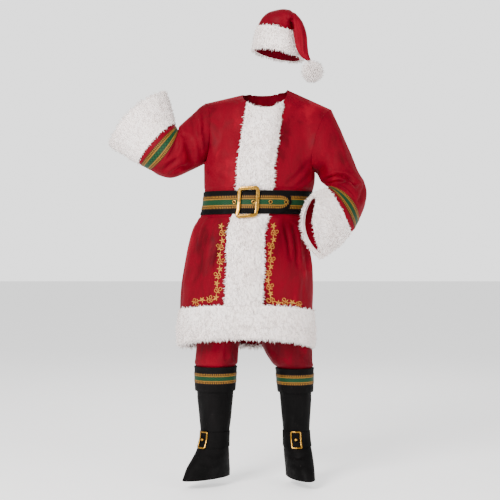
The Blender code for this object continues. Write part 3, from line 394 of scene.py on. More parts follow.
def neckline(angle, shoulder, front):
    # The neck edge at an angle from the centre line, on one shoulder's side
    reach = neck["front"] if front else neck["back"]
    low = neck["frontZ"] if front else neck["backZ"]
    x = neck["x"] + shoulder.side * neck["half"] * np.sin(angle)
    y = neck["y"] - (reach if front else -reach) * np.cos(angle)
    z = low + (shoulder.neckZ - low) * (1 - np.cos(angle))
    return np.stack([x, y, z], axis=-1)


def upperHalf(armpitRow, shoulder, front):
    # One side of the coat above the armpit, centre line first, as rows up to the shoulder seam
    steps = np.arange(1, upperRows + 1)
    turn = math.pi * steps / upperRows
    underarm = armpitRow[-1]
    tip = np.array(shoulder.tip)
    armhole = underarm + (tip - underarm) * ((1 - np.cos(turn)) / 2)[:, None]
    armhole[:, 0] -= shoulder.side * shoulder.hollow * np.sin(turn)
    armhole[:, 1] += (-1 if front else 1) * shoulder.depth * np.sin(turn)

    neckRow = frontNeckRow if front else backNeckRow
    band = bandHalf if front else neckBackHalf
    start = math.asin(band / neck["half"])
    rise = np.minimum(steps / neckRow, 1.0)
    beyond = np.maximum(steps - neckRow, 0) / (upperRows - neckRow)
    bulge = np.sin(math.pi * rise) * (-0.010 if front else 0.014)
    columns = []
    for column in range(bandColumns + 1):
        angle = math.asin(band / neck["half"] * column / bandColumns)
        foot = armpitRow[column]
        line = foot + (neckline(np.array([angle]), shoulder, front) - foot) * rise[:, None]
        line[:, 1] += bulge
        columns.append(line)
    alongNeck = neckline(start + (math.pi / 2 - start) * beyond, shoulder, front)
    edge = np.where((beyond > 0)[:, None], alongNeck, columns[bandColumns])

    first, last = armpitRow[bandColumns], armpitRow[-1]
    share = (armpitRow[bandColumns:, :2] - first[:2]) / (last[:2] - first[:2])
    straight = ((steps / upperRows) ** 3)[:, None]
    aheadShare = blend(share[None, :, 1], share[None, :, 0], straight)
    sideShare = np.repeat(share[None, :, 0], upperRows, axis=0)
    share = np.stack([sideShare, aheadShare, sideShare], axis=-1)
    body = edge[:, None] + (armhole - edge)[:, None] * share
    inner = np.stack(columns[:bandColumns], axis=1)
    return np.concatenate([inner, body], axis=1)


def coatGrid(front):
    # The whole front or back of the coat, with the mask of cells that the neck leaves
    low = lowerRows(front)
    centre = low.shape[1] // 2
    left = upperHalf(low[-1, centre:], shoulders["left"], front)
    right = upperHalf(low[-1, centre::-1], shoulders["right"], front)
    upper = np.concatenate([right[:, :0:-1], left], axis=1)
    upper[:, centre] = (right[:, 0] + left[:, 0]) / 2
    grid = np.concatenate([low, upper])
    keep = np.ones((grid.shape[0] - 1, grid.shape[1] - 1), bool)
    neck = len(levels) - 1 + (frontNeckRow if front else backNeckRow)
    keep[neck:, centre - bandColumns:centre + bandColumns] = False
    return grid, keep


def sharedNormals(front, back):
    # Normals of the front and back grids, the same on both sides of side and shoulder seams
    ahead, behind = gridNormals(front), -gridNormals(back)
    sides = slice(0, len(levels))
    for column in (0, -1):
        mean = unit(ahead[sides, column] + behind[sides, column])
        ahead[sides, column] = mean
        behind[sides, column] = mean
    for normals in (ahead, behind):
        middle = normals.shape[1] // 2
        normals[-1, :middle - bandColumns + 1] = [0.0, 0.0, 1.0]
        normals[-1, middle + bandColumns:] = [0.0, 0.0, 1.0]
    return ahead, behind


def sideLoop(front, back, row, side):
    # The side edge of front and back from a row up, as a loop: underarm, front, shoulder, back
    column = 0 if side < 0 else -1
    return np.concatenate([front[row:, column], back[row:, column][-2:0:-1]])


def coatRing(front, back, rows, end):
    # Rows of the coat all round: from the centre front by the left side and the back to a front column
    return np.concatenate([front[rows, frontColumns:], back[rows, -2:0:-1], front[rows, :end]], axis=1)


def armholeLoop(front, back, frontNormals, backNormals, side):
    # Armhole points, normals and ring angles
    row = len(levels) - 1
    points = sideLoop(front, back, row, side)
    angles = np.arange(len(points)) * math.pi / upperRows
    return points, sideLoop(frontNormals, backNormals, row, side), angles


def outlineRings(table, angles, side):
    # Rings drawn by two outline points each, as a grid of a row for each ring
    rings = []
    for ring in table:
        under = np.array([ring.underX, 0.0, ring.underZ])
        over = np.array([ring.overX, 0.0, ring.overZ])
        middle, arm = (under + over) / 2, (over - under) / 2
        out = unit(np.array([arm[2], 0.0, -arm[0]])) * side
        swing = math.radians(ring.swing)
        ahead = -ring.depth * np.array([0.0, math.cos(swing), 0.0]) - ring.depth * math.sin(swing) * out
        sine, cosine = np.sin(angles)[:, None], np.cos(angles)[:, None]
        points = middle - arm * cosine + ahead * sine + out * ring.bow * sine ** 2
        points[:, 1] += ring.y
        rings.append(points)
    return slideOnSightLine(np.array(rings))


def sleeveGrid(name, loop):
    # A sleeve's outer grid and normals, starting 0.3 mm off the armhole
    points, normals, angles = loop
    side = shoulders[name].side
    along = np.roll(points, -1, axis=0) - np.roll(points, 1, axis=0)
    away = unit(np.cross(along, normals)) * side
    first = points + away * seamGap
    grid = np.concatenate([first[None], outlineRings(sleeves[name], angles, side)])
    out = gridNormals(grid, around=True) * -side
    dent = np.zeros(grid.shape[:2])
    for crease in sleeveCreases[name]:
        along = np.exp(-((np.arange(len(grid)) - crease.ring) / crease.rings) ** 2)
        awayAngle = np.degrees(angles) - crease.angle
        dent += crease.depth * along[:, None] * np.exp(-(awayAngle / crease.reach) ** 2)
    dent[0] = 0.0
    grid = grid - out * dent[..., None]
    gridOut = gridNormals(grid, around=True) * -side
    gridOut[0] = normals
    return grid, gridOut


def beltCourse(front, back, frontNormals, backNormals):
    # The belt's path over the coat, from the tongue's tip once round to under the buckle
    rows = slice(beltLowRow, beltTopRow + 1)
    ring = coatRing(front, back, rows, frontColumns)
    out = coatRing(frontNormals, backNormals, rows, frontColumns)
    count = ring.shape[1]
    reach = travelled(ring[2, :frontColumns + 1])
    tip = float(np.interp(tongueTip, reach, np.arange(len(reach))))
    whole = np.arange(math.floor(tip), -count - 1, -1)
    places = np.concatenate([[tip], [tip - 0.25], whole[whole < tip - 0.3]]).astype(float)
    under = np.where(np.abs((places + count / 2) % count - count / 2) <= bandColumns, plushUnderBelt, 0.0)
    lift = under + 2 * seamGap
    layer = strap + braid + 2 * seamGap
    lift = lift + np.where(places >= -1, layer, 0.0)
    low, high = np.floor(places).astype(int), np.floor(places).astype(int) + 1
    share = (places - low)[None, :, None]
    points = blend(ring[:, low % count], ring[:, high % count], share)
    normals = unit(blend(out[:, low % count], out[:, high % count], share))
    for column, keep in ((0, 0.35), (1, 0.80)):
        middle = points[2, column]
        points[:, column] = middle + (points[:, column] - middle) * keep
    return points[:, ::-1], normals[:, ::-1], lift[::-1]


def legGrid(name):
    # One trouser leg as an open sheet whose edges meet down the inseam
    side = shoulders[name].side
    grid = []
    for row in legs[name]:
        cut = (crotchX - row.middle) * side / row.half
        reach = math.acos(cut) if cut > -1 else math.pi
        angles = np.linspace(-reach, reach, legColumns + 1)
        x = row.middle + side * row.half * np.cos(angles)
        y = row.y + row.depth * np.sin(angles) * -1
        edge = seamGap * side * (np.abs(np.abs(angles) - reach) < 1e-9)
        grid.append(np.stack([x + edge / 2, y, np.full_like(x, row.z)], axis=-1))
    shaft, out = bootGrid(name, boots[name])
    innerColumn = round((90 - side * toeTurn[name]) * -side / 360 * bootColumns)
    columns = (innerColumn - side * np.arange(legColumns + 1)) % bootColumns
    for place, lift in tuckRows:
        low = int(place)
        ring = blend(shaft[low], shaft[low + 1], place % 1)
        facing = blend(out[low], out[low + 1], place % 1)
        ring = ring - unit(facing * levelPart) * (cloth + 2 * seamGap)
        ring[:, 2] += lift
        grid.append(ring[columns])
    grid = np.array(grid)
    inseam = (grid[:, 0] + grid[:, -1]) / 2
    closed = np.linalg.norm(grid[:, 0] - grid[:, -1], axis=-1) < 0.002
    forward = np.array([0.0, seamGap, 0.0])
    grid[closed, 0] = inseam[closed] + forward
    grid[closed, -1] = inseam[closed] - forward
    return grid


def bootGrid(name, rows):
    # Rings of a boot cover, each an oval turned towards the toe
    turn = math.radians(toeTurn[name])
    toe = np.array([math.sin(turn), -math.cos(turn), 0.0])
    across = np.array([math.cos(turn), math.sin(turn), 0.0])
    angles = roundTurns(bootColumns)
    grid = []
    for row in rows:
        middle = np.array([row.middle, row.y, row.z]) + toe * row.toe
        ring = middle + np.cos(angles)[:, None] * toe * row.along + np.sin(angles)[:, None] * across * row.across
        grid.append(ring)
    grid = np.array(grid)
    return grid, outwardRings(grid)


def onShaft(grid, normals, column, height, lift):
    # A point off a boot shaft, at a column and a height, lifted along the wall's normal
    count = grid.shape[1]
    low = math.floor(column)
    share = column - low
    line, out = (blend(part[:, low % count], part[:, (low + 1) % count], share) for part in (grid, normals))
    order = np.argsort(line[:, 2])
    point = np.array([np.interp(height, line[order, 2], line[order, axis]) for axis in range(3)])
    facing = np.array([np.interp(height, line[order, 2], out[order, axis]) for axis in range(3)])
    return point + unit(facing) * lift


# Fine cloth from the cut's grids

def smoothThrough(values, at):
    # curveThrough on rows of any shape: the rows are flattened, read at the places, and shaped again
    flat = values.reshape(len(values), -1)
    return curveThrough(np.arange(len(values)), flat, at).reshape((len(at),) + values.shape[1:])


def refine(grid, rowsBy, columnsBy, around=False):
    # Finer grid through the same points: the smooth cubic read rowsBy times a row, then columnsBy times a column
    grid = np.asarray(grid, float)
    if len(grid) > 1:
        grid = smoothThrough(grid, np.linspace(0, len(grid) - 1, (len(grid) - 1) * rowsBy + 1))
    turned = np.swapaxes(grid, 0, 1)
    count = len(turned)
    if around:
        turned = np.concatenate([turned[-3:], turned, turned[:4]])
        at = 3 + np.arange(count * columnsBy) / columnsBy
    else:
        at = np.linspace(0, count - 1, (count - 1) * columnsBy + 1)
    return np.swapaxes(smoothThrough(turned, at), 0, 1)


def insideOut(points, faces):
    # Whether four-sided faces enclose a negative volume: the sum of a . (b x c) + a . (c x d)
    a, b, c, d = (points[faces[:, k]] for k in range(4))
    return (a * np.cross(b, c)).sum() + (a * np.cross(c, d)).sum() < 0


def addMesh(name, points, faces, material, cornerUv=None, sharpEdges=True):
    # Object from points and a list of faces, its place in its mesh, smooth but for edges over 48 degrees
    mesh = bpy.data.meshes.new(name)
    mesh.from_pydata(points.tolist(), [], list(faces))
    if cornerUv is not None:
        layer = mesh.uv_layers.new(name="cloth")
        layer.data.foreach_set("uv", np.ascontiguousarray(cornerUv, np.float32).ravel())
    mesh.materials.append(material)
    mesh.shade_smooth()
    if sharpEdges:
        mesh.set_sharp_from_angle(angle=math.radians(48))
    mesh.update()
    piece = bpy.data.objects.new(name, mesh)
    bpy.context.scene.collection.objects.link(piece)
    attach(piece, "root")
    return piece


def clothUv(grid, around=False):
    # u runs along the columns and v along the rows, both in metres of cloth measured on the middle lines
    ring = grid[len(grid) // 2]
    if around:
        ring = np.concatenate([ring, ring[:1]])
    return np.stack(np.meshgrid(travelled(ring), travelled(grid[:, grid.shape[1] // 2])), axis=-1)


def wall(name, outer, inner, material, keep=None, around=False, uv=None):
    # Closed cloth between two grids: outer cells, inner cells turned over, and a strip along every free edge
    rows, columns = outer.shape[:2]
    uv = clothUv(outer, around) if uv is None else uv
    wide = uv.shape[1]
    numbers = np.arange(rows * columns).reshape(rows, columns)
    places = np.arange(rows * wide).reshape(rows, wide)
    right = np.roll(numbers, -1, axis=1) if around else numbers[:, 1:]
    left = numbers if around else numbers[:, :-1]
    cells = np.stack([left[:-1], right[:-1], right[1:], left[1:]], axis=-1)
    spots = np.stack([places[:-1, :-1], places[:-1, 1:], places[1:, 1:], places[1:, :-1]], axis=-1)
    cells = cells.reshape(-1, 4) if keep is None else cells[keep]
    spots = spots.reshape(-1, 4) if keep is None else spots[keep]
    order = ([0, 1], [1, 2], [2, 3], [3, 0])
    edges = np.concatenate([cells[:, pair] for pair in order])
    edgeSpots = np.concatenate([spots[:, pair] for pair in order])
    count = rows * columns
    free = ~np.isin(edges[:, 0] * count + edges[:, 1], edges[:, 1] * count + edges[:, 0])
    start, end = edges[free].T
    startSpot, endSpot = edgeSpots[free].T
    faces = np.concatenate([cells, cells[:, ::-1] + count, np.stack([end, start, start + count, end + count], axis=-1)])
    faceSpots = np.concatenate([spots, spots[:, ::-1], np.stack([endSpot, startSpot, startSpot, endSpot], axis=-1)])
    points = np.concatenate([outer.reshape(-1, 3), inner.reshape(-1, 3)])
    used, faces = np.unique(faces, return_inverse=True)
    faces = faces.reshape(-1, 4)
    points = points[used]
    if insideOut(points, faces):
        faces, faceSpots = faces[:, ::-1], faceSpots[:, ::-1]
    return addMesh(name, points, faces.tolist(), material, uv.reshape(-1, 2)[faceSpots].reshape(-1, 2))


def planePlaces(points):
    # Where points are seen on the plane y=0: the reverse of slideOnSightLine, as x and z
    depth = 1.0 - points[..., 1] / eye.y
    return np.stack([(points[..., 0] - eye.x) / depth + eye.x, (points[..., 2] - eye.z) / depth + eye.z], axis=-1)


# A soft crease: its course on the plane of the shoulders in hundredths, half width and depth in millimetres
Soft = namedtuple("Soft", "course width depth side")


def creased(grid, normals, creases):
    # Dent = depth * exp(-(d/w)^2) with lips of 0.45 depth at 2.3 w, faded by sin at the ends and by the facing
    seen = planePlaces(grid)
    dent = np.zeros(grid.shape[:2])
    for crease in (Soft(*row) for row in creases):
        course = np.array(crease.course) / 100.0
        steps = np.diff(course, axis=0)
        lengths = np.linalg.norm(steps, axis=1)
        ahead = np.concatenate([[0.0], np.cumsum(lengths)]) / lengths.sum()
        best = np.full(grid.shape[:2], 9.0)
        along = np.zeros(grid.shape[:2])
        for k, step in enumerate(steps):
            share = np.clip(((seen - course[k]) @ step) / lengths[k] ** 2, 0, 1)
            away = np.linalg.norm(seen - course[k] - share[..., None] * step, axis=-1)
            nearer = away < best
            best = np.where(nearer, away, best)
            along = np.where(nearer, ahead[k] + share * (ahead[k + 1] - ahead[k]), along)
        width = crease.width / 1000.0
        shape = np.exp(-(best / width) ** 2) - 0.45 * np.exp(-((best - 2.3 * width) / (1.1 * width)) ** 2)
        fade = np.sin(np.pi * np.clip(0.08 + 0.84 * along, 0, 1)) ** 0.7
        facing = smoothStep(-0.15, 0.35, -crease.side * normals[..., 1])
        dent += crease.depth / 1000.0 * shape * fade * facing
    return dent


def rumple(points, seed, waves, stretch, amount):
    # Sum of sines along seeded directions, each warped by a slower one, so that no fold repeats
    rng = np.random.default_rng(seed)
    place = points * np.array(stretch)
    total = np.zeros(points.shape[:-1])
    for k in range(waves):
        direction = unit(rng.normal(size=3))
        warp = unit(rng.normal(size=3))
        turn = 1.5 * np.sin(place @ warp * 6.0 + rng.uniform(0, 6.28))
        total += np.sin(place @ direction * rng.uniform(0.6, 1.5) * 12.0 + turn + rng.uniform(0, 6.28))
    return amount * total / math.sqrt(waves)


# Finishes

def newMaterial(name, roughness, metallic=0.0, sheen=0.0, sheenTint=(1, 1, 1), sheenRoughness=0.4, specular=0.5):
    # A material with its node tree and its shader, set up but not coloured
    material = bpy.data.materials.new(name)
    material.use_nodes = True
    shader = material.node_tree.nodes["Principled BSDF"]
    shader.inputs["Roughness"].default_value = roughness
    shader.inputs["Metallic"].default_value = metallic
    shader.inputs["Sheen Weight"].default_value = sheen
    shader.inputs["Sheen Roughness"].default_value = sheenRoughness
    shader.inputs["Sheen Tint"].default_value = (*sheenTint, 1.0)
    shader.inputs["Specular IOR Level"].default_value = specular
    return material, material.node_tree, shader


def objectPlace(tree):
    # Coordinates that stay with the piece
    return tree.nodes.new("ShaderNodeTexCoord").outputs["Object"]


def addNoise(tree, source, scale, detail, stretch=(1, 1, 1), distortion=0.0):
    # Noise of a scale and detail, read at the source stretched per axis
    place = tree.nodes.new("ShaderNodeMapping")
    place.inputs["Scale"].default_value = stretch
    tree.links.new(source, place.inputs["Vector"])
    noise = tree.nodes.new("ShaderNodeTexNoise")
    noise.inputs["Scale"].default_value = scale
    noise.inputs["Detail"].default_value = detail
    noise.inputs["Distortion"].default_value = distortion
    tree.links.new(place.outputs["Vector"], noise.inputs["Vector"])
    return noise.outputs["Fac"]


def addRamp(tree, source, stops, constant=False):
    # Colours at their places from 0 to 1, eased or stepped between, read by the source
    ramp = tree.nodes.new("ShaderNodeValToRGB")
    ramp.color_ramp.interpolation = "CONSTANT" if constant else "EASE"
    while len(ramp.color_ramp.elements) < len(stops):
        ramp.color_ramp.elements.new(0.5)
    for element, (place, colour) in zip(ramp.color_ramp.elements, stops):
        element.position = place
        element.color = (*colour, 1.0)
    tree.links.new(source, ramp.inputs["Fac"])
    return ramp.outputs["Color"]


def addMix(tree, fac, first, second, kind="MIX"):
    # Two colours blended by a number or a socket
    mix = tree.nodes.new("ShaderNodeMix")
    mix.data_type = "RGBA"
    mix.blend_type = kind
    if isinstance(fac, float):
        mix.inputs[0].default_value = fac
    else:
        tree.links.new(fac, mix.inputs[0])
    tree.links.new(first, mix.inputs[6])
    tree.links.new(second, mix.inputs[7])
    return mix.outputs[2]


def addMath(tree, kind, first, second=None, third=None):
    # One sum or product of numbers and sockets
    node = tree.nodes.new("ShaderNodeMath")
    node.operation = kind
    for socket, value in zip(node.inputs, (first, second, third)):
        if value is None:
            continue
        if isinstance(value, (int, float)):
            socket.default_value = value
        else:
            tree.links.new(value, socket)
    return node.outputs[0]


def addBump(tree, shader, height, strength, distance, before=None):
    # Heights read into the shader's normal, over an earlier bump where there is one
    bump = tree.nodes.new("ShaderNodeBump")
    bump.inputs["Strength"].default_value = strength
    bump.inputs["Distance"].default_value = distance
    tree.links.new(height, bump.inputs["Height"])
    if before is not None:
        tree.links.new(before, bump.inputs["Normal"])
    tree.links.new(bump.outputs["Normal"], shader.inputs["Normal"])
    return bump.outputs["Normal"]


# Linear colours of the nap, its sheen and its roughness: the dark end of each ramp is painted fold shade, the light end
# painted highlight, the middle the cloth's own tone
velourLook = {
    "redVelour": {
        "dark": (0.070, 0.0003, 0.0040), "mid": (0.150, 0.0006, 0.0080), "light": (0.240, 0.0016, 0.0130),
        "sheen": 0.26, "sheenTint": (1.0, 0.04, 0.09), "roughness": 0.75},
    # The trousers' velour is the same red made darker: painted shade of the coat's hem over the legs
    "hemShadedTrouserVelour": {
        "dark": (0.040, 0.0002, 0.0026), "mid": (0.098, 0.0005, 0.0058), "light": (0.180, 0.0012, 0.0100),
        "sheen": 0.20, "sheenTint": (1.0, 0.04, 0.09), "roughness": 0.78},
    "blackVelour": {
        "dark": (0.0008, 0.0007, 0.0008), "mid": (0.0020, 0.0018, 0.0019), "light": (0.0045, 0.0040, 0.0042),
        "sheen": 0.025, "sheenTint": (0.6, 0.55, 0.55), "roughness": 0.80},
}
# Plush tones: the dark end is painted shade between the clumps, the light end the pile's own white
plushColoursWithPaintedShade = {"dark": (0.84, 0.745, 0.71), "mid": (0.965, 0.885, 0.855), "light": (1.0, 0.945, 0.92)}
goldColours = {"dark": (0.24, 0.115, 0.014), "light": (0.50, 0.27, 0.050)}
threadColours = {"dark": (0.26, 0.10, 0.006), "light": (0.74, 0.38, 0.035)}


def makeVelour(name, look):
    # Colour by three noises: broad nap, crushed patches and pile; the ramp scatters painted shade and painted highlight
    # over the crushed patches; the same heights lift the bump
    material, tree, shader = newMaterial(
        name, look["roughness"], sheen=look["sheen"], sheenTint=look["sheenTint"], sheenRoughness=0.30, specular=0.06)
    place = objectPlace(tree)
    broad = addNoise(tree, place, 7.0, 3.0, (1.0, 1.0, 0.45), 0.5)
    crushed = addNoise(tree, place, 24.0, 3.0, (1.0, 1.0, 0.5), 0.8)
    pile = addNoise(tree, place, 900.0, 2.0)
    napWithPaintedLight = addMath(tree, "MULTIPLY_ADD", crushed, 0.35, addMath(tree, "MULTIPLY", broad, 0.75))
    # The ramp paints fold shade at its dark end and highlight at its light end
    colour = addRamp(tree, napWithPaintedLight, [(0.34, look["dark"]), (0.54, look["mid"]), (0.74, look["light"])])
    fleck = addRamp(tree, pile, [(0.30, (0.72, 0.72, 0.72)), (0.70, (1.0, 1.0, 1.0))])
    tree.links.new(addMix(tree, 1.0, colour, fleck, "MULTIPLY"), shader.inputs["Base Color"])
    rough = addRamp(tree, crushed, [(0.3, (0.52,) * 3), (0.7, (0.80,) * 3)])
    tree.links.new(rough, shader.inputs["Roughness"])
    first = addBump(tree, shader, crushed, 0.30, 0.006)
    addBump(tree, shader, pile, 0.20, 0.0008, first)
    return material


def makePlush(name):
    # Pale pile: painted shade between clumps 9 mm across darkens the colour, hairs stretched along the lie lift the
    # bump
    material, tree, shader = newMaterial(name, 0.92, sheen=0.30, sheenTint=(1.0, 0.97, 0.95), specular=0.15)
    place = objectPlace(tree)
    clump = addNoise(tree, place, 85.0, 4.0, (1.0, 1.0, 0.6), 1.0)
    broad = addNoise(tree, place, 11.0, 2.0)
    hair = addNoise(tree, place, 700.0, 3.0, (1.0, 1.0, 0.18))
    both = addMath(tree, "MULTIPLY_ADD", clump, 0.6, addMath(tree, "MULTIPLY", broad, 0.45))
    tones = plushColoursWithPaintedShade
    colour = addRamp(tree, both, [(0.33, tones["dark"]), (0.52, tones["mid"]), (0.7, tones["light"])])
    tree.links.new(colour, shader.inputs["Base Color"])
    first = addBump(tree, shader, clump, 0.55, 0.006)
    addBump(tree, shader, hair, 0.45, 0.0015, first)
    return material


def makeGold(name):
    # Plated metal: base colour and roughness vary with two noises, hairline scratches in the bump
    material, tree, shader = newMaterial(name, 0.24, metallic=1.0)
    place = objectPlace(tree)
    tarnish = addNoise(tree, place, 60.0, 3.0)
    scratch = addNoise(tree, place, 900.0, 2.0, (1.0, 1.0, 0.1))
    colour = addRamp(tree, tarnish, [(0.3, goldColours["dark"]), (0.65, goldColours["light"])])
    tree.links.new(colour, shader.inputs["Base Color"])
    tree.links.new(addRamp(tree, tarnish, [(0.3, (0.38,) * 3), (0.7, (0.18,) * 3)]), shader.inputs["Roughness"])
    addBump(tree, shader, scratch, 0.10, 0.0004)
    return material


def makeThread(name, dark, light):
    # Shining thread: fine slanted twist stripes from a wave, in colour and bump
    material, tree, shader = newMaterial(name, 0.42, metallic=0.35, sheen=0.15, sheenTint=(1.0, 0.8, 0.4))
    place = objectPlace(tree)
    twist = tree.nodes.new("ShaderNodeTexWave")
    twist.bands_direction = "DIAGONAL"
    twist.inputs["Scale"].default_value = 330.0
    twist.inputs["Distortion"].default_value = 1.5
    tree.links.new(place, twist.inputs["Vector"])
    tree.links.new(addRamp(tree, twist.outputs["Fac"], [(0.15, dark), (0.75, light)]), shader.inputs["Base Color"])
    addBump(tree, shader, twist.outputs["Fac"], 0.5, 0.0006)
    return material


braidLook = {"gold": (0.30, 0.135, 0.012), "goldDark": (0.060, 0.024, 0.003), "green": (0.0010, 0.0200, 0.0060),
             "greenLight": (0.0040, 0.0560, 0.0170), "ground": (0.003, 0.002, 0.0015),
             "pitch": 0.0072, "column": 0.0020, "borders": (0.195, 0.285, 0.325, 0.450)}


def toUnit(tree, wave):
    # wave * 0.5 + 0.5
    return addMath(tree, "MULTIPLY_ADD", wave, 0.5, 0.5)


def makeBraid(name, width):
    # Bands across the width by v, picots every pitch by u in the outer bands, small diamonds in the middle one
    material, tree, shader = newMaterial(name, 0.55, sheen=0.03, specular=0.14)
    uv = tree.nodes.new("ShaderNodeUVMap")
    uv.uv_map = "cloth"
    split = tree.nodes.new("ShaderNodeSeparateXYZ")
    tree.links.new(uv.outputs["UV"], split.inputs["Vector"])
    u, v = split.outputs["X"], split.outputs["Y"]
    across = addMath(tree, "DIVIDE", v, width)
    outward = addMath(tree, "ABSOLUTE", addMath(tree, "SUBTRACT", across, 0.5))
    turns = addMath(tree, "MULTIPLY", u, 2 * math.pi / braidLook["pitch"])
    bars = addMath(tree, "COSINE", turns)
    slow = addMath(tree, "COSINE", addMath(tree, "MULTIPLY", turns, 0.5))
    rows = addMath(tree, "COSINE", addMath(tree, "MULTIPLY", v, 2 * math.pi / braidLook["pitch"]))
    diamond = addMath(tree, "MULTIPLY", slow, rows)
    weave = addNoise(tree, uv.outputs["UV"], 1600.0, 1.0)
    picot = addRamp(tree, toUnit(tree, bars),
                    [(0.45, braidLook["ground"]), (0.72, braidLook["gold"])])
    green = addRamp(tree, toUnit(tree, diamond),
                    [(0.40, braidLook["green"]), (0.68, braidLook["greenLight"])])
    twist = addMath(tree, "SINE", addMath(tree, "MULTIPLY_ADD", v, 2400.0, turns))
    line = addRamp(tree, toUnit(tree, twist),
                   [(0.10, braidLook["goldDark"]), (0.45, braidLook["gold"])])
    isLine, isGap, isPicot, isBound = (
        addMath(tree, "GREATER_THAN", outward, border) for border in braidLook["borders"])
    dark = addRamp(tree, u, [(0.0, braidLook["ground"]), (1.0, braidLook["ground"])])
    bound = addRamp(tree, toUnit(tree, bars),
                    [(0.55, braidLook["ground"]), (0.95, braidLook["goldDark"])])
    colour = addMix(tree, isGap, addMix(tree, isLine, green, line), dark)
    colour = addMix(tree, isPicot, colour, picot)
    colour = addMix(tree, isBound, colour, bound)
    fleck = addRamp(tree, weave, [(0.3, (0.75,) * 3), (0.6, (1.0,) * 3)])
    tree.links.new(addMix(tree, 1.0, colour, fleck, "MULTIPLY"), shader.inputs["Base Color"])
    addBump(tree, shader, weave, 0.35, 0.0004)
    return material


redVelour, hemShadedTrouserVelour, blackVelour = (makeVelour(name, look) for name, look in velourLook.items())
plush = makePlush("whitePlush")
gold = makeGold("goldPlate")
goldThread = makeThread("goldThread", **threadColours)
print("finishes made")

# Coat

coatLook = {
    "rowsBy": 6, "frontColumnsBy": 5, "backColumnsBy": 7, "tuckUnderTrims": 0.0022,
    "front": (
        ([(-20.5, -28.0), (-15.0, -32.5), (-11.0, -34.0)], 9, 4.0, 1),
        ([(-19.5, -24.5), (-14.0, -27.5), (-9.5, -28.0)], 10, 3.0, 1),
        ([(-17.0, -9.0), (-16.0, -16.0), (-17.5, -22.0)], 14, 3.5, 1),
        ([(18.6, -25.5), (14.0, -31.0), (9.5, -35.0)], 10, 4.5, 1),
        ([(19.2, -30.0), (15.0, -34.0), (11.5, -36.0)], 8, 3.5, 1),
        ([(16.0, -12.0), (17.5, -18.0), (16.5, -24.0)], 15, 3.0, 1),
        ([(9.0, -50.5), (10.4, -57.0), (11.0, -63.0)], 6, 6.0, 1),
        ([(12.4, -50.5), (13.4, -58.0), (13.8, -66.0)], 6, 6.5, 1),
        ([(15.6, -50.5), (16.8, -58.5), (17.4, -67.0)], 8, 7.0, 1),
        ([(16.2, -66.0), (16.8, -73.0), (16.4, -81.0)], 12, 4.5, 1),
        ([(-21.5, -53.0), (-24.5, -62.0), (-27.0, -72.0)], 14, 5.0, 1),
        ([(-17.0, -52.0), (-19.5, -64.0), (-21.5, -78.0)], 12, 4.0, 1),
        ([(-24.0, -60.0), (-27.5, -70.0), (-29.0, -80.0)], 9, -3.0, 1),
        ([(-12.0, -50.5), (-12.8, -55.0), (-13.0, -60.0)], 7, 3.5, 1),
    ),
    "back": (
        ([(-18.5, -26.0), (-11.0, -31.0), (-5.0, -33.0)], 11, 5.0, -1),
        ([(17.5, -27.0), (11.0, -31.0), (4.0, -34.0)], 11, 5.0, -1),
        ([(-9.0, -12.0), (-11.0, -20.0), (-9.5, -28.0)], 15, 3.5, -1),
        ([(9.0, -13.0), (12.0, -20.0), (10.5, -27.0)], 15, 3.5, -1),
        ([(-13.0, -50.5), (-14.5, -60.0), (-15.0, -74.0)], 9, 7.0, -1),
        ([(-8.0, -50.5), (-8.4, -58.0), (-7.5, -66.0)], 7, 5.5, -1),
        ([(-2.5, -50.5), (-1.5, -60.0), (-2.0, -78.0)], 9, 6.5, -1),
        ([(4.5, -50.5), (5.5, -59.0), (5.0, -70.0)], 8, 5.5, -1),
        ([(10.5, -50.5), (12.5, -61.0), (13.0, -76.0)], 9, 7.0, -1),
        ([(-20.5, -52.0), (-23.5, -63.0), (-25.0, -76.0)], 12, 5.0, -1),
        ([(-12.0, -37.0), (-3.0, -35.5), (6.0, -36.8)], 6, 3.5, -1),
    ),
}


def fineCoat(front):
    # The cut's grid with its neck corner carried straight on, refined, and the mask of cells that are cloth
    grid, keep = coatGrid(front)
    centre = grid.shape[1] // 2
    above = len(levels) + (frontNeckRow if front else backNeckRow)
    for way in (-1, 1):
        edge = centre + way * bandColumns
        step = grid[above:, edge] - grid[above:, edge + way]
        for column in range(bandColumns):
            grid[above:, centre + way * column] = grid[above:, edge] + step * (bandColumns - column)
    rowsBy = coatLook["rowsBy"]
    columnsBy = coatLook["frontColumnsBy" if front else "backColumnsBy"]
    fine = refine(grid, rowsBy, columnsBy)
    return fine, np.repeat(np.repeat(keep, rowsBy, axis=0), columnsBy, axis=1)


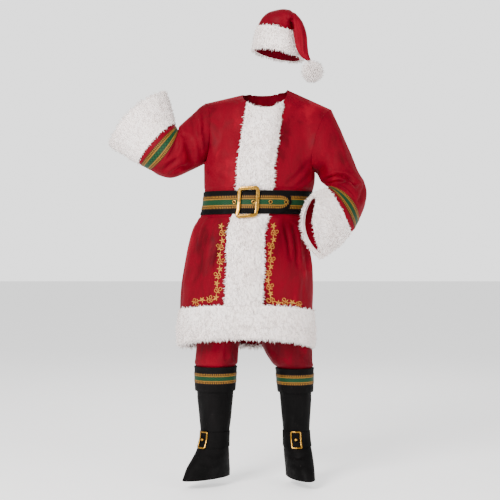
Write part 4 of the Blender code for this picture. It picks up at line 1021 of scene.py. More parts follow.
def drapeCoat(fine, normals, front):
    # Creases and rumples along the normals, faded to nothing at the seams, and tucked in under belt and plush
    rows = np.arange(len(fine))[:, None] / coatLook["rowsBy"]
    share = np.linspace(-1, 1, fine.shape[1])[None, :]
    side = smoothStep(1.0, 0.86, np.abs(share))
    rest = smoothStep(beltLowRow - 0.1, beltLowRow - 1.2, rows) + smoothStep(beltTopRow + 0.1, beltTopRow + 1.2, rows)
    ends = smoothStep(0.0, 2.0, rows) * smoothStep(len(levels) - 1 + upperRows, len(levels) - 3 + upperRows, rows)
    dent = creased(fine, normals, coatLook["front" if front else "back"])
    skirt = smoothStep(beltLowRow, beltLowRow - 3, rows)
    dent = dent + rumple(fine, 11 if front else 12, 9, (1.6, 1.6, 0.45), 0.0016) * skirt
    dent = dent + rumple(fine, 13 if front else 14, 9, (1.5, 1.5, 1.1), 0.0012) * (1 - skirt)
    dent = dent + rumple(fine, 15, 8, (4.0, 4.0, 2.6), 0.00055)
    dent = dent * side * rest * ends
    tuck = 1 - smoothStep(0.2, 0.5, rest) + 1.0 * (rows < hemTopRow - 0.1)
    if front:
        tuck = tuck + 1.0 * (np.abs(np.arange(fine.shape[1]) - fine.shape[1] // 2)[None, :]
                             < bandColumns * coatLook["frontColumnsBy"] - 2)
    dent = dent + coatLook["tuckUnderTrims"] * np.clip(tuck, 0, 1) * smoothStep(1.0, 0.97, np.abs(share))
    return fine - normals * dent[..., None]


frontGrid, backGrid = coatGrid(True)[0], coatGrid(False)[0]
frontNormals, backNormals = sharedNormals(frontGrid, backGrid)
cut = (frontGrid, backGrid, frontNormals, backNormals)


def buildCoat():
    # Three panels: the front grid in two halves and the back grid, each with a wall of cloth
    fineFront, keepFront = fineCoat(True)
    fineBack, keepBack = fineCoat(False)
    outFront, outBack = gridNormals(fineFront), -gridNormals(fineBack)
    for column in (0, -1):
        mean = unit(outFront[:, column] + outBack[:, column])
        outFront[:, column] = mean
        outBack[:, column] = mean
    front = drapeCoat(fineFront, outFront, True)
    back = drapeCoat(fineBack, outBack, False)
    centre = frontColumns * coatLook["frontColumnsBy"]
    parts = {"coatFrontRight": slice(0, centre + 1), "coatFrontLeft": slice(centre, 2 * centre + 1)}
    made = {}
    for name, part in parts.items():
        outer = drawnIn(front[:, part])
        cells = keepFront[:, part.start:part.stop - 1]
        made[name] = wall(name, outer, outer - outFront[:, part] * cloth, redVelour, keep=cells)
    outer = drawnIn(back)
    made["coatBack"] = wall("coatBack", outer, outer - outBack * cloth, redVelour, keep=keepBack)
    return made, (fineFront, fineBack, outFront, outBack), front


coatPieces, fineCut, drapedFront = buildCoat()
print("coat made")

# Sleeves

sleeveLook = {
    "rowsBy": 7,
    "right": (
        ([(-23.0, -5.5), (-22.6, -13.5), (-21.6, -19.5), (-21.0, -23.0)], 7, 9.0, 1),
        ([(-21.6, -6.0), (-20.7, -12.0), (-20.4, -19.0)], 5, 5.0, 1),
        ([(-26.5, -8.5), (-25.5, -15.0), (-24.0, -22.0)], 9, 4.5, 1),
        ([(-30.0, -16.0), (-28.6, -20.5), (-27.0, -26.0)], 12, 6.0, 1),
        ([(-38.5, -28.6), (-36.0, -26.5), (-33.6, -24.8)], 7, 7.0, 1),
        ([(-35.5, -30.0), (-32.0, -27.8), (-28.5, -27.0)], 7, 5.0, 1),
        ([(-36.5, -25.0), (-33.0, -22.5), (-31.0, -19.0)], 8, -3.5, 1),
        ([(-33.0, -12.8), (-31.0, -15.0), (-28.0, -16.0)], 6, 4.5, 1),
        ([(-25.0, -8.0), (-26.0, -16.0), (-25.0, -24.0)], 10, 6.0, -1),
        ([(-38.0, -27.5), (-34.0, -23.0), (-31.0, -17.0)], 8, 6.5, -1),
        ([(-33.0, -26.0), (-29.0, -21.0), (-28.5, -14.0)], 9, 5.0, -1),
    ),
    "left": (
        ([(24.6, -32.6), (29.0, -30.6), (33.0, -31.2), (35.6, -33.0), (36.8, -35.0)], 6, 11.0, 1),
        ([(40.0, -34.4), (39.2, -38.8), (37.0, -42.4)], 7, 6.5, 1),
        ([(37.6, -32.0), (38.8, -33.6), (39.4, -36.0)], 6, -3.5, 1),
        ([(29.6, -13.3), (32.8, -24.3), (36.8, -31.2)], 10, -4.5, 1),
        ([(22.6, -10.9), (21.2, -19.4), (20.4, -27.2)], 9, 5.0, 1),
        ([(27.0, -15.0), (28.0, -22.0), (28.4, -28.0)], 12, 4.5, 1),
        ([(30.5, -33.5), (34.5, -36.5), (37.0, -40.5)], 6, 5.0, 1),
        ([(25.0, -12.0), (27.0, -20.0), (26.0, -28.0)], 10, 5.5, -1),
        ([(26.0, -31.5), (31.0, -32.0), (37.0, -31.0)], 8, 7.0, -1),
        ([(28.0, -36.0), (33.0, -37.5), (39.0, -37.0)], 7, 6.0, -1),
    ),
}


def buildSleeve(name):
    # Sleeve rings refined, its first ring moved onto the armhole and eased out over the next, then creased
    grid, coarseOut = sleeveGrid(name, armholeLoop(*cut, shoulders[name].side))
    side = shoulders[name].side
    rowsBy = sleeveLook["rowsBy"]
    fine = refine(grid, rowsBy, coatLook["rowsBy"], around=True)
    row = (len(levels) - 1) * coatLook["rowsBy"]
    fineFront, fineBack, outFront, outBack = fineCut
    loop, out = sideLoop(fineFront, fineBack, row, side), sideLoop(outFront, outBack, row, side)
    along = np.roll(loop, -1, axis=0) - np.roll(loop, 1, axis=0)
    first = loop + unit(np.cross(along, out)) * side * seamGap
    ease = smoothStep(rowsBy * 1.2, 0.0, np.arange(len(fine)))[:, None, None]
    fine = fine + (first - fine[0])[None] * ease
    normals = gridNormals(fine, around=True) * -side
    rings = np.arange(len(fine))[:, None] / rowsBy
    start = plushRing[name]
    free = smoothStep(0.0, 1.0, rings) * smoothStep(start, start - 1.2, rings)
    braidLow, braidHigh = braidRings[name]
    flat = 1 - smoothStep(braidLow - 0.8, braidLow - 0.1, rings) * smoothStep(braidHigh + 0.6, braidHigh + 0.05, rings)
    dent = creased(fine, normals, sleeveLook[name]) + rumple(fine, 21, 9, (1.7, 1.7, 1.3), 0.0016)
    dent = (dent + rumple(fine, 22, 8, (4.0, 4.0, 3.0), 0.0006)) * free * flat
    dent = dent + coatLook["tuckUnderTrims"] * ((rings > start + 0.1) & (rings < len(grid) - 1.2))
    outer = fine - normals * dent[..., None]
    piece = wall("sleeve" + name.capitalize(), outer, outer - normals * cloth, redVelour, around=True)
    return piece, grid, coarseOut


# Plush

# Locks in metres and square metres of cloth each; cells are fine rows and columns for each of the cut's
plushLook = {
    "lockLength": 0.0105, "lockWidth": 0.0039, "lockArea": 22e-6, "edgeSpacing": 0.0026, "edgeLength": 0.0125,
    "lift": 0.55, "lean": 0.75, "spread": 0.55, "fringe": 1700,
    "cells": {"cuff": (8, 7), "frontBand": (6, 8), "hemBand": (9, 6), "hatBand": (10, 8)},
}


def lockMesh(name, feet, ways, bends, lengths, widths):
    # Each lock is a three-sided spike: a base ring, a middle ring at 0.55 of its length bent over, and a tip
    count = len(feet)
    side = unit(np.cross(ways, bends + np.array([0.013, 0.007, 0.019])))
    other = np.cross(ways, side)
    turns = roundTurns(3)
    ring = (np.cos(turns)[None, :, None] * side[:, None] + np.sin(turns)[None, :, None] * other[:, None])
    low = feet[:, None] + ring * widths[:, None, None] * 0.5
    middle = feet + ways * lengths[:, None] * 0.55 + bends * lengths[:, None] * 0.10
    middle = middle[:, None] + ring * widths[:, None, None] * 0.42
    tip = feet + ways * lengths[:, None] * 0.95 + bends * lengths[:, None] * 0.42
    points = np.concatenate([low, middle, tip[:, None]], axis=1).reshape(-1, 3)
    first = np.arange(count)[:, None, None] * 7
    sides = np.array([[0, 1, 4, 3], [1, 2, 5, 4], [2, 0, 3, 5]])
    tips = np.array([[3, 4, 6, 6], [4, 5, 6, 6], [5, 3, 6, 6], [2, 1, 0, 0]])
    quads = (first + sides[None]).reshape(-1, 4)
    thirds = (first + tips[None]).reshape(-1, 4)[:, :3]
    return addMesh(name, points, quads.tolist() + thirds.tolist(), plush, sharpEdges=False)


every = slice(None)


def growLocks(name, outer, normals, comb, seed, around=False, edges=(), skip=None, skipEdge=None):
    # Feet spread evenly by area over the grid's cells; edge feet sit on the named border rows or columns
    rng = np.random.default_rng(seed)
    look = plushLook
    right = np.roll(outer, -1, axis=1) if around else outer[:, 1:]
    left = outer if around else outer[:, :-1]
    outRight = np.roll(normals, -1, axis=1) if around else normals[:, 1:]
    outLeft = normals if around else normals[:, :-1]
    area = np.linalg.norm(np.cross(right[:-1] - left[:-1], left[1:] - left[:-1]), axis=-1)
    if skip is not None:
        area = area * ~skip
    count = int(area.sum() / look["lockArea"])
    cell = rng.choice(area.size, size=count, p=(area / area.sum()).ravel())
    row, column = np.divmod(cell, area.shape[1])
    s, t = rng.uniform(size=(2, count, 1))
    low, high = (blend(left[place, column], right[place, column], s) for place in (row, row + 1))
    feet = blend(low, high, t)
    out = unit(blend(outLeft[row, column], outRight[row, column], s))
    lie = unit(comb - out * (out @ comb)[:, None])
    ways = unit(out * look["lift"] + lie * look["lean"] + rng.normal(size=(count, 3)) * look["spread"] * 0.6)
    bends = unit(lie + rng.normal(size=(count, 3)) * 0.5)
    lengths = look["lockLength"] * rng.uniform(0.65, 1.25, count)
    widths = look["lockWidth"] * rng.uniform(0.7, 1.3, count)
    parts = [(feet - out * 0.0025, ways, bends, lengths, widths)]
    for border, inside in edges:
        line, back, face = outer[border], outer[inside], normals[border]
        reach = travelled(line)
        number = int(reach[-1] / look["edgeSpacing"])
        place = np.interp(rng.uniform(0, reach[-1], number), reach, np.arange(len(line)))
        low = np.minimum(place.astype(int), len(line) - 2)
        share = (place - low)[:, None]
        feet, behind, out = (blend(part[low], part[low + 1], share) for part in (line, back, face))
        away, out = unit(feet - behind), unit(out)
        ways = unit(away * 0.9 + out * 0.12 + rng.normal(size=(number, 3)) * 0.30)
        bends = unit(comb[None] * 0.6 + away * 0.4 + rng.normal(size=(number, 3)) * 0.5)
        lengths = look["edgeLength"] * rng.uniform(0.55, 1.2, number)
        widths = look["lockWidth"] * rng.uniform(0.7, 1.25, number)
        feet = feet - away * 0.003 - out * rng.uniform(0.0, 0.004, (number, 1))
        free = np.ones(number, bool) if skipEdge is None else (feet[:, 2] < skipEdge[0]) | (feet[:, 2] > skipEdge[1])
        parts.append((feet[free], ways[free], bends[free], lengths[free], widths[free]))
    feet, ways, bends, lengths, widths = (np.concatenate(column) for column in zip(*parts))
    return lockMesh(name, feet, ways, bends, lengths, widths)


def plushBand(name, base, normals, high, rowsBy, columnsBy, around, seed, comb, edges,
              skipRows=None, skipEdge=None):
    # Backing from a seam gap to high above the base grid, its face puffed unevenly, and locks grown on its face
    low = np.full_like(high, seamGap)
    lowFace, highFace = (refine(base + normals * lift[..., None], rowsBy, columnsBy, around) for lift in (low, high))
    out = unit(refine(normals, rowsBy, columnsBy, around))
    puff = rumple(highFace, seed, 10, (6.0, 6.0, 6.0), 0.0009)
    highFace = highFace - out * 0.0015 + out * puff[..., None]
    back = wall(name + "Backing", highFace, lowFace, plush, around=around)
    skip = None
    if skipRows is not None:
        places = np.arange(len(highFace) - 1)[:, None] / rowsBy
        cells = highFace.shape[1] - (0 if around else 1)
        skip = (places >= skipRows[0]) & (places < skipRows[1]) & np.ones((1, cells), bool)
    locks = growLocks(name + "Pile", highFace, out, np.array(comb, float), seed + 1, around, edges, skip, skipEdge)
    return back, locks


def buildCuffPlush(name, grid, normals):
    # The bell of plush from the plush ring to just past the sleeve's mouth
    start = plushRing[name]
    end = grid[-1] + unit(grid[-1] - grid[-2]) * plushHeight
    base = np.concatenate([grid[start:], end[None]])
    out = np.concatenate([normals[start:], normals[-1:]])
    count = len(base)
    high = np.full((count, grid.shape[1]), plushHeight)
    high[0] = plushEdge
    high[-1] = 0.8 * plushHeight
    comb = unit(base[-1].mean(axis=0) - base[0].mean(axis=0))
    edges = [((0, every), (1, every)), ((-1, every), (-2, every))]
    return plushBand("cuff" + name.capitalize(), base, out, high, *plushLook["cells"]["cuff"], True,
                     31 + start, comb, edges)


def buildCoatPlush():
    # The front band over the neck-to-hem columns and the hem band all round
    centre = frontColumns
    band = slice(centre - bandColumns, centre + bandColumns + 1)
    neck = len(levels) - 1 + frontNeckRow
    rows = np.arange(hemTopRow, neck + 1)
    base = frontGrid[rows][:, band].copy()
    out = frontNormals[rows][:, band]
    base[0] += unit(base[1] - base[0]) * seamGap
    high = np.full((len(rows), 2 * bandColumns + 1), plushHeight)
    high[:, 0] = plushEdge
    high[:, -1] = plushEdge
    high[0] = plushEdge + 0.003
    high[-1] = plushEdge
    high[(rows >= beltLowRow) & (rows <= beltTopRow)] = plushUnderBelt
    edges = [((every, 0), (every, 3)), ((every, -1), (every, -4)),
             ((-1, every), (-4, every))]
    front = plushBand("frontBand", base, out, high, *plushLook["cells"]["frontBand"], False, 41,
                      (0, -0.1, -1.0), edges,
                      (beltLowRow - hemTopRow - 0.15, beltTopRow - hemTopRow + 0.15),
                      (levels[beltLowRow] - 0.004, levels[beltTopRow] + 0.004))
    rows = slice(0, hemTopRow + 1)
    base = drawnIn(coatRing(frontGrid, backGrid, rows, centre + 1))
    out = coatRing(frontNormals, backNormals, rows, centre + 1)
    high = np.array([[0.7 * plushHeight], [plushHeight], [plushEdge]]) + 0 * base[..., 0]
    edges = [((0, every), (2, every)), ((-1, every), (-3, every))]
    hem = plushBand("hemBand", base, out, high, *plushLook["cells"]["hemBand"], False, 51, (0, 0, -1.0), edges)
    return front, hem + (hemFringe(base, out),)


def hemFringe(base, out):
    # Locks hanging from just inside the hem's lowest row, seen where the front stands away from the back
    rng = np.random.default_rng(57)
    line = refine(base[:1].repeat(2, axis=0), 1, 40)[0]
    facing = unit(refine(out[:1].repeat(2, axis=0), 1, 40)[0])
    chosen = rng.integers(0, len(line), plushLook["fringe"])
    feet = line[chosen] - facing[chosen] * rng.uniform(0.001, 0.006, (len(chosen), 1)) \
        + np.array([0, 0, 1.0]) * rng.uniform(0.0, 0.014, (len(chosen), 1))
    ways = unit(np.array([0.0, 0.0, -1.0]) - facing[chosen] * 0.22 + rng.normal(size=(len(chosen), 3)) * 0.30)
    bends = unit(np.array([0.0, 0.0, -1.0]) + rng.normal(size=(len(chosen), 3)) * 0.5)
    return lockMesh("hemFringe", feet, ways, bends, plushLook["edgeLength"] * rng.uniform(0.8, 1.5, len(chosen)),
                    plushLook["lockWidth"] * rng.uniform(0.8, 1.3, len(chosen)))


# Braid

def roundedTip(grid, along, tip):
    # Rows drawn to the middle row by sqrt(1 - (1 - d/tip)^2), where d is the way left to the end
    left = np.clip((along[-1] - along) / tip, 0, 1)
    share = np.sqrt(np.maximum(1 - (1 - left) ** 2, 0.004))[None, :, None]
    middle = grid[len(grid) // 2][None]
    return middle + (grid - middle) * share


def buildBraid(name, base, normals, around, rowsBy=9, tip=None):
    # Relief by v and u: round gold lines, picot bars at the pitch in the outer bands, low diamonds in the middle
    ring = base[len(base) // 2]
    if around:
        ring = np.concatenate([ring, ring[:1]])
    length = np.linalg.norm(np.diff(ring, axis=0), axis=-1).sum()
    columnsBy = max(2, round(length / (len(ring) - 1) / braidLook["column"]))
    low = refine(base, rowsBy, columnsBy, around)
    out = unit(refine(normals, rowsBy, columnsBy, around))
    whole = clothUv(low, around)
    uv = whole[:, :low.shape[1]]
    width = uv[-1, 0, 1]
    if tip:
        kept = uv[0, :, 0] < uv[0, -1, 0] - tip[1]
        low, out, uv, whole = low[:, kept], out[:, kept], uv[:, kept], whole[:, kept]
        low = roundedTip(low, uv[0, :, 0], tip[0])
    across = uv[..., 1] / width
    turns = uv[..., 0] * 2 * np.pi / braidLook["pitch"]
    outward = np.abs(across - 0.5)
    line = np.exp(-((outward - 0.25) / 0.045) ** 2) * (0.85 + 0.15 * np.sin(turns))
    picot = smoothStep(0.31, 0.35, outward) * (0.5 + 0.5 * np.cos(turns)) ** 1.5
    edge = smoothStep(0.5, 0.46, outward)
    diamonds = np.cos(turns / 2) * np.cos(uv[..., 1] * 2 * np.pi / braidLook["pitch"])
    middle = smoothStep(0.21, 0.18, outward) * (0.55 + 0.45 * diamonds)
    high = braid * (0.35 + 0.75 * line + 0.75 * picot + 0.30 * middle) * (0.45 + 0.55 * edge)
    material = makeBraid(name + "Thread", width)
    return wall(name, low + out * (seamGap + high)[..., None], low + out * seamGap, material, around=around, uv=whole)


sleevePieces, cuffPieces = {}, {}
for armName in ("right", "left"):
    sleevePieces[armName], armGrid, armOut = buildSleeve(armName)
    ringLow, ringHigh = braidRings[armName]
    lowRow, highRow = armGrid[ringLow], armGrid[ringHigh]
    cuffPieces[armName] = buildCuffPlush(armName, armGrid, armOut)
    bandRows = np.array([lowRow, (lowRow + highRow) / 2, highRow])
    bandOut = unit(np.array([armOut[ringLow], armOut[ringLow] + armOut[ringHigh], armOut[ringHigh]]))
    sleevePieces[armName + "Braid"] = buildBraid("sleeveBraid" + armName.capitalize(), bandRows, bandOut, True)
print("sleeves and cuffs made")
frontBand, hemBand = buildCoatPlush()
print("coat plush made")

# Belt

beltLook = {"rowsBy": 5, "columnsBy": 6, "tip": 0.055, "braidShort": 0.012, "holeRadius": 0.0046, "eyeletSteps": 40}


def frameCourse(width, height, corner, count):
    # Points evenly round a rectangle with arcs for corners
    quarter = np.linspace(0, math.pi / 2, 9)
    turns = np.concatenate([quarter + k * math.pi / 2 for k in range(4)])
    signX = np.repeat([1, -1, -1, 1], 9)
    signZ = np.repeat([1, 1, -1, -1], 9)
    loop = np.stack([signX * (width / 2 - corner) + corner * np.cos(turns),
                     signZ * (height / 2 - corner) + corner * np.sin(turns)], axis=-1)
    loop = np.concatenate([loop, loop[:1]])
    along = travelled(loop)
    at = np.arange(count) / count * along[-1]
    return np.stack([np.interp(at, along, loop[:, 0]), np.interp(at, along, loop[:, 1])], axis=-1)


def ringTube(name, path, facing, width, depth, material, sides=14, power=0.6):
    # Closed bar along a loop: section = signed powers of cos and sin, width across the path and depth along facing
    along = unit(np.roll(path, -1, axis=0) - np.roll(path, 1, axis=0))
    across = unit(np.cross(along, facing))
    turns = roundTurns(sides)
    c, s = np.cos(turns), np.sin(turns)
    c = np.sign(c) * np.abs(c) ** power * width / 2
    s = np.sign(s) * np.abs(s) ** power * depth / 2
    grid = path[:, None] + across[:, None] * c[None, :, None] + facing[:, None] * s[None, :, None]
    rows, columns = grid.shape[:2]
    numbers = np.arange(rows * columns).reshape(rows, columns)
    nextRow = np.roll(numbers, -1, axis=0)
    faces = np.stack([numbers, np.roll(numbers, -1, axis=1), np.roll(nextRow, -1, axis=1), nextRow], axis=-1)
    faces = faces.reshape(-1, 4)
    points = grid.reshape(-1, 3)
    if insideOut(points, faces):
        faces = faces[:, ::-1]
    return addMesh(name, points, faces.tolist(), material)


def onBand(across, up, liftBy):
    # Points over the front band: metres across from its middle, metres up from the belt's middle, lifted off it
    middle = (levels[beltLowRow] + levels[beltTopRow]) / 2
    rows = slice(beltLowRow - 1, beltTopRow + 2)
    place = frontColumns + across / bandHalf * bandColumns
    points = []
    for spot, height in zip(place, middle + up):
        column = int(math.floor(spot))
        share = spot - column
        line, out = (blend(part[rows, column], part[rows, column + 1], share) for part in (frontGrid, frontNormals))
        point = np.array([np.interp(height, line[:, 2], line[:, axis]) for axis in (0, 1)] + [height])
        normal = unit(out[3] * levelPart)
        points.append(np.stack([point + normal * liftBy, normal]))
    return np.array(points).transpose(1, 0, 2)


def buildBelt():
    # Strap and braid along the belt's course, then the frame, and an eyelet at each of the cut's places
    points, normals, lift = beltCourse(*cut)
    low = np.repeat(lift[None], points.shape[0], axis=0)
    look = beltLook
    under = refine(points + normals * low[..., None], look["rowsBy"], look["columnsBy"])
    over = refine(points + normals * (low + strap)[..., None], look["rowsBy"], look["columnsBy"])
    out = unit(refine(normals, look["rowsBy"], look["columnsBy"]))
    places = np.linspace(-1, 1, over.shape[0])[:, None]
    over = over - out * (0.0009 * smoothStep(0.86, 1.0, np.abs(places)))[..., None]
    along = clothUv(under)[0, :, 0]
    over, under = roundedTip(over, along, look["tip"]), roundedTip(under, along, look["tip"])
    strapPiece = wall("beltStrap", over, under, blackVelour)
    rows = slice(braidRows[0] - beltLowRow, braidRows[1] - beltLowRow + 1)
    braidPiece = buildBraid("beltBraid", (points + normals * (low + strap)[..., None])[rows], normals[rows], False,
                            tip=(0.040, look["braidShort"]))

    topFace = plushUnderBelt + 2 * seamGap + strap + braid + 2 * seamGap + strap + seamGap + braid
    liftBuckle = topFace + 2 * seamGap + buckle["bar"]
    course = frameCourse(buckle["width"], buckle["height"], buckle["corner"], 120)
    tilt = math.radians(buckle["tilt"])
    across = buckle["across"] + course[:, 0] * math.cos(tilt) - course[:, 1] * math.sin(tilt)
    up = course[:, 1] * math.cos(tilt) + course[:, 0] * math.sin(tilt)
    path, facing = onBand(across, up, liftBuckle)
    bucklePiece = ringTube("beltBuckle", path, facing, 2.2 * buckle["bar"], 1.5 * buckle["bar"], gold, 18, 0.45)

    eyelets, spots = [], []
    steps = beltLook["eyeletSteps"]
    turns = roundTurns(steps)
    for number in range(1, len(eyeletPlaces) + 1):
        lowCorner, highCorner = (np.array(corner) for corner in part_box("belt_eyelet_%d" % number))
        middle = (lowCorner + highCorner) / 2
        near = np.linalg.norm(over - middle, axis=-1)
        facing = out[np.unravel_index(np.argmin(near), near.shape)]
        across = unit(np.cross(facing, [0.0, 0.0, 1.0]))
        upward = np.cross(across, facing)
        ring = np.cos(turns)[:, None] * across + np.sin(turns)[:, None] * upward
        path = middle + ring * eyeletRadius - facing * 0.0002
        ahead = np.repeat(facing[None], steps, axis=0)
        piece = ringTube("beltEyelet%d" % number, path, ahead, 0.0028, 0.0022, gold, 10, 1.0)
        spots.append(middle + ring * look["holeRadius"] + facing * 0.0001)
        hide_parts("belt_eyelet_%d" % number)
        eyelets.append(piece)
    # Black velour discs laid in each eyelet: painted shade of an open hole, since the strap under them has none
    corners = np.arange(steps * len(spots)).reshape(-1, steps)[:, ::-1]
    holeShadeDiscs = addMesh("beltHoleShade", np.concatenate(spots), corners.tolist(), blackVelour)
    return strapPiece, braidPiece, bucklePiece, eyelets


beltPieces = buildBelt()
print("belt made")

# Gold vine on the skirt

# Courses on the plane of the shoulders in hundredths; sizes in millimetres
vineLook = {
    "right": [(-15.6, -49.3), (-15.9, -57.0), (-16.7, -66.0), (-17.5, -74.5), (-18.6, -79.0), (-21.2, -79.7),
              (-27.6, -80.1)],
    "left": [(5.0, -49.3), (4.2, -56.0), (3.3, -64.0), (2.7, -72.0), (3.3, -78.4), (5.9, -80.3), (15.8, -81.2)],
    "period": 53.0, "sway": 5.0, "stem": 1.05, "petal": 12.0, "petalWidth": 2.0, "lift": 0.0004,
    "curls": ((6.0, 1, 8.2), (15.0, -1, 7.8)),
    "leaves": ((17.5, 1, 1.0), (1.0, -1, 1.0)),
}


def vineStrokes():
    # One period of the vine as strokes of (along, across, radius) in millimetres: stem, curls, leaves and a bloom
    look = vineLook
    half = look["period"] / 2
    sway = lambda place: look["sway"] * np.sin(2 * np.pi * place / look["period"])
    strokes = []
    s = np.linspace(-half, half, 26)
    strokes.append(np.stack([s, sway(s), 0 * s + look["stem"]], axis=-1))
    t = np.linspace(0, 1, 24)
    for place, way, size in look["curls"]:
        turn = way * (-math.pi / 2 + 2.1 * math.pi * t)
        radius = size * (1 - 0.62 * t ** 1.4)
        strokes.append(np.stack([place + radius * np.cos(turn), sway(place) + way * size * 1.02 + radius * np.sin(turn),
                                 look["stem"] * (0.95 + 0.55 * smoothStep(0.80, 1.0, t))], axis=-1))
    for k in range(5):
        turn = 2 * np.pi * (k + 0.3) / 5
        reach = np.linspace(0.10, 1, 12) * look["petal"]
        strokes.append(np.stack([reach * np.cos(turn) - 14.0, sway(-14.0) + 1.5 + reach * np.sin(turn),
                                 look["petalWidth"] * np.sin(np.pi * np.linspace(0.16, 0.93, 12))], axis=-1))
    for place, way, size in look["leaves"]:
        reach = np.linspace(0, 1, 10)
        rise = way * size * (11.5 * reach - 2.5 * reach ** 2)
        strokes.append(np.stack([place + 6.5 * size * reach, sway(place) + rise,
                                 1.9 * size * np.sin(np.pi * np.linspace(0.08, 0.95, 10))], axis=-1))
    return strokes


def onFront(seen):
    # Points of the draped front at places on the shoulder plane, and normals: the nearest point's tangent plane
    places = planePlaces(drapedFront).reshape(-1, 2)
    points = drapedFront.reshape(-1, 3)
    out = gridNormals(drapedFront).reshape(-1, 3)
    chosen = np.array([np.argmin(((places - spot) ** 2).sum(axis=-1)) for spot in seen])
    base, normal = points[chosen], out[chosen]
    ray = np.stack([seen[:, 0], np.zeros(len(seen)), seen[:, 1]], axis=-1) - np.array(eye)
    reach = ((base - np.array(eye)) * normal).sum(axis=-1) / (ray * normal).sum(axis=-1)
    return np.array(eye) + ray * reach[:, None], normal


def buildVine(name):
    # The strokes of every period laid along the course and raised as flat satin tubes on the draped front
    look = vineLook
    course = np.array(look[name], float) / 100.0
    number = int(travelled(course)[-1] / (look["period"] / 1000.0))
    sides = 6
    allPoints, allFaces, total = [], [], 0
    fineCourse = smoothThrough(course, np.linspace(0, len(course) - 1, 200))
    tangents = np.gradient(fineCourse, axis=0)
    fineAlong = travelled(fineCourse)
    for k in range(number):
        middle = (k + 0.5) * fineAlong[-1] / number
        flip = 1 if k % 2 == 0 else -1
        for stroke in vineStrokes():
            s = middle + stroke[:, 0] / 1000.0
            spot, way = (np.stack([np.interp(s, fineAlong, line[:, k]) for k in (0, 1)], axis=-1)
                         for line in (fineCourse, tangents))
            way = unit(way)
            spot = spot + np.stack([-way[:, 1], way[:, 0]], axis=-1) * (flip * stroke[:, 1] / 1000.0)[:, None]
            point, normal = onFront(spot)
            forward = unit(np.gradient(point, axis=0))
            across = unit(np.cross(forward, normal))
            turns = roundTurns(sides)
            radius = stroke[:, 2, None, None] / 1000.0
            ring = point[:, None] + normal[:, None] * look["lift"] + radius * (
                np.cos(turns)[None, :, None] * across[:, None] + 0.62 * np.sin(turns)[None, :, None] * normal[:, None])
            rows = len(point)
            numbers = np.arange(rows * sides).reshape(rows, sides) + total
            turned = np.roll(numbers, -1, axis=1)
            faces = np.stack([numbers[:-1], numbers[1:], turned[1:], turned[:-1]], axis=-1).reshape(-1, 4).tolist()
            faces.append(numbers[0].tolist())
            faces.append(numbers[-1][::-1].tolist())
            allPoints.append(ring.reshape(-1, 3))
            allFaces += faces
            total += rows * sides
    piece = addMesh("vine" + name.capitalize(), np.concatenate(allPoints), allFaces, goldThread, sharpEdges=False)
    return piece


vines = {name: buildVine(name) for name in ("right", "left")}
print("vines made")

# Trousers

trouserLook = {
    "rowsBy": 6, "columnsBy": 6, "overCuff": {"right": 0.006, "left": 0.006}, "sag": {"right": 0.004, "left": 0.006},
    "right": (
        ([(-13.5, -96.0), (-14.3, -100.4), (-13.9, -104.0)], 6, 7.0, 1),
        ([(-11.5, -98.4), (-10.4, -102.7), (-9.4, -104.5)], 6, 5.0, 1),
        ([(-19.0, -88.0), (-18.0, -95.0), (-19.0, -101.5)], 11, 5.0, 1),
        ([(-17.0, -97.0), (-16.5, -101.0), (-17.0, -104.0)], 6, -2.5, 1),
        ([(-22.0, -90.0), (-16.0, -96.0), (-12.0, -99.0)], 9, 6.0, -1),
        ([(-22.0, -99.0), (-17.0, -101.5), (-12.0, -101.0)], 7, 5.0, -1),
    ),
    "left": (
        ([(2.4, -97.2), (5.5, -100.4), (7.5, -104.0)], 7, 5.0, 1),
        ([(14.3, -98.4), (17.5, -102.4), (18.2, -104.5)], 7, 4.5, 1),
        ([(9.0, -90.0), (10.5, -96.0), (9.5, -101.0)], 11, 4.5, 1),
        ([(2.0, -92.0), (8.0, -97.0), (14.0, -100.0)], 9, 6.0, -1),
        ([(6.0, -100.5), (11.0, -102.5), (17.0, -101.0)], 7, 5.0, -1),
    ),
}


def bootPieceTop(name):
    # Height of the boot cover's top edge
    return bootGrid(name, boots[name])[0][0, :, 2].mean()


def untwisted(grid, start):
    # Each row from start on is read again at the angles of the row before start, around its own middle
    flat = grid[start - 1] - grid[start - 1].mean(axis=0)
    wanted = np.arctan2(flat[:, 1], flat[:, 0])
    for row in range(start, len(grid)):
        flat = grid[row] - grid[row].mean(axis=0)
        angles = np.arctan2(flat[:, 1], flat[:, 0])
        read = [np.interp(wanted, angles, grid[row][:, k], period=2 * math.pi) for k in range(3)]
        grid[row] = np.stack(read, axis=-1)
    return grid


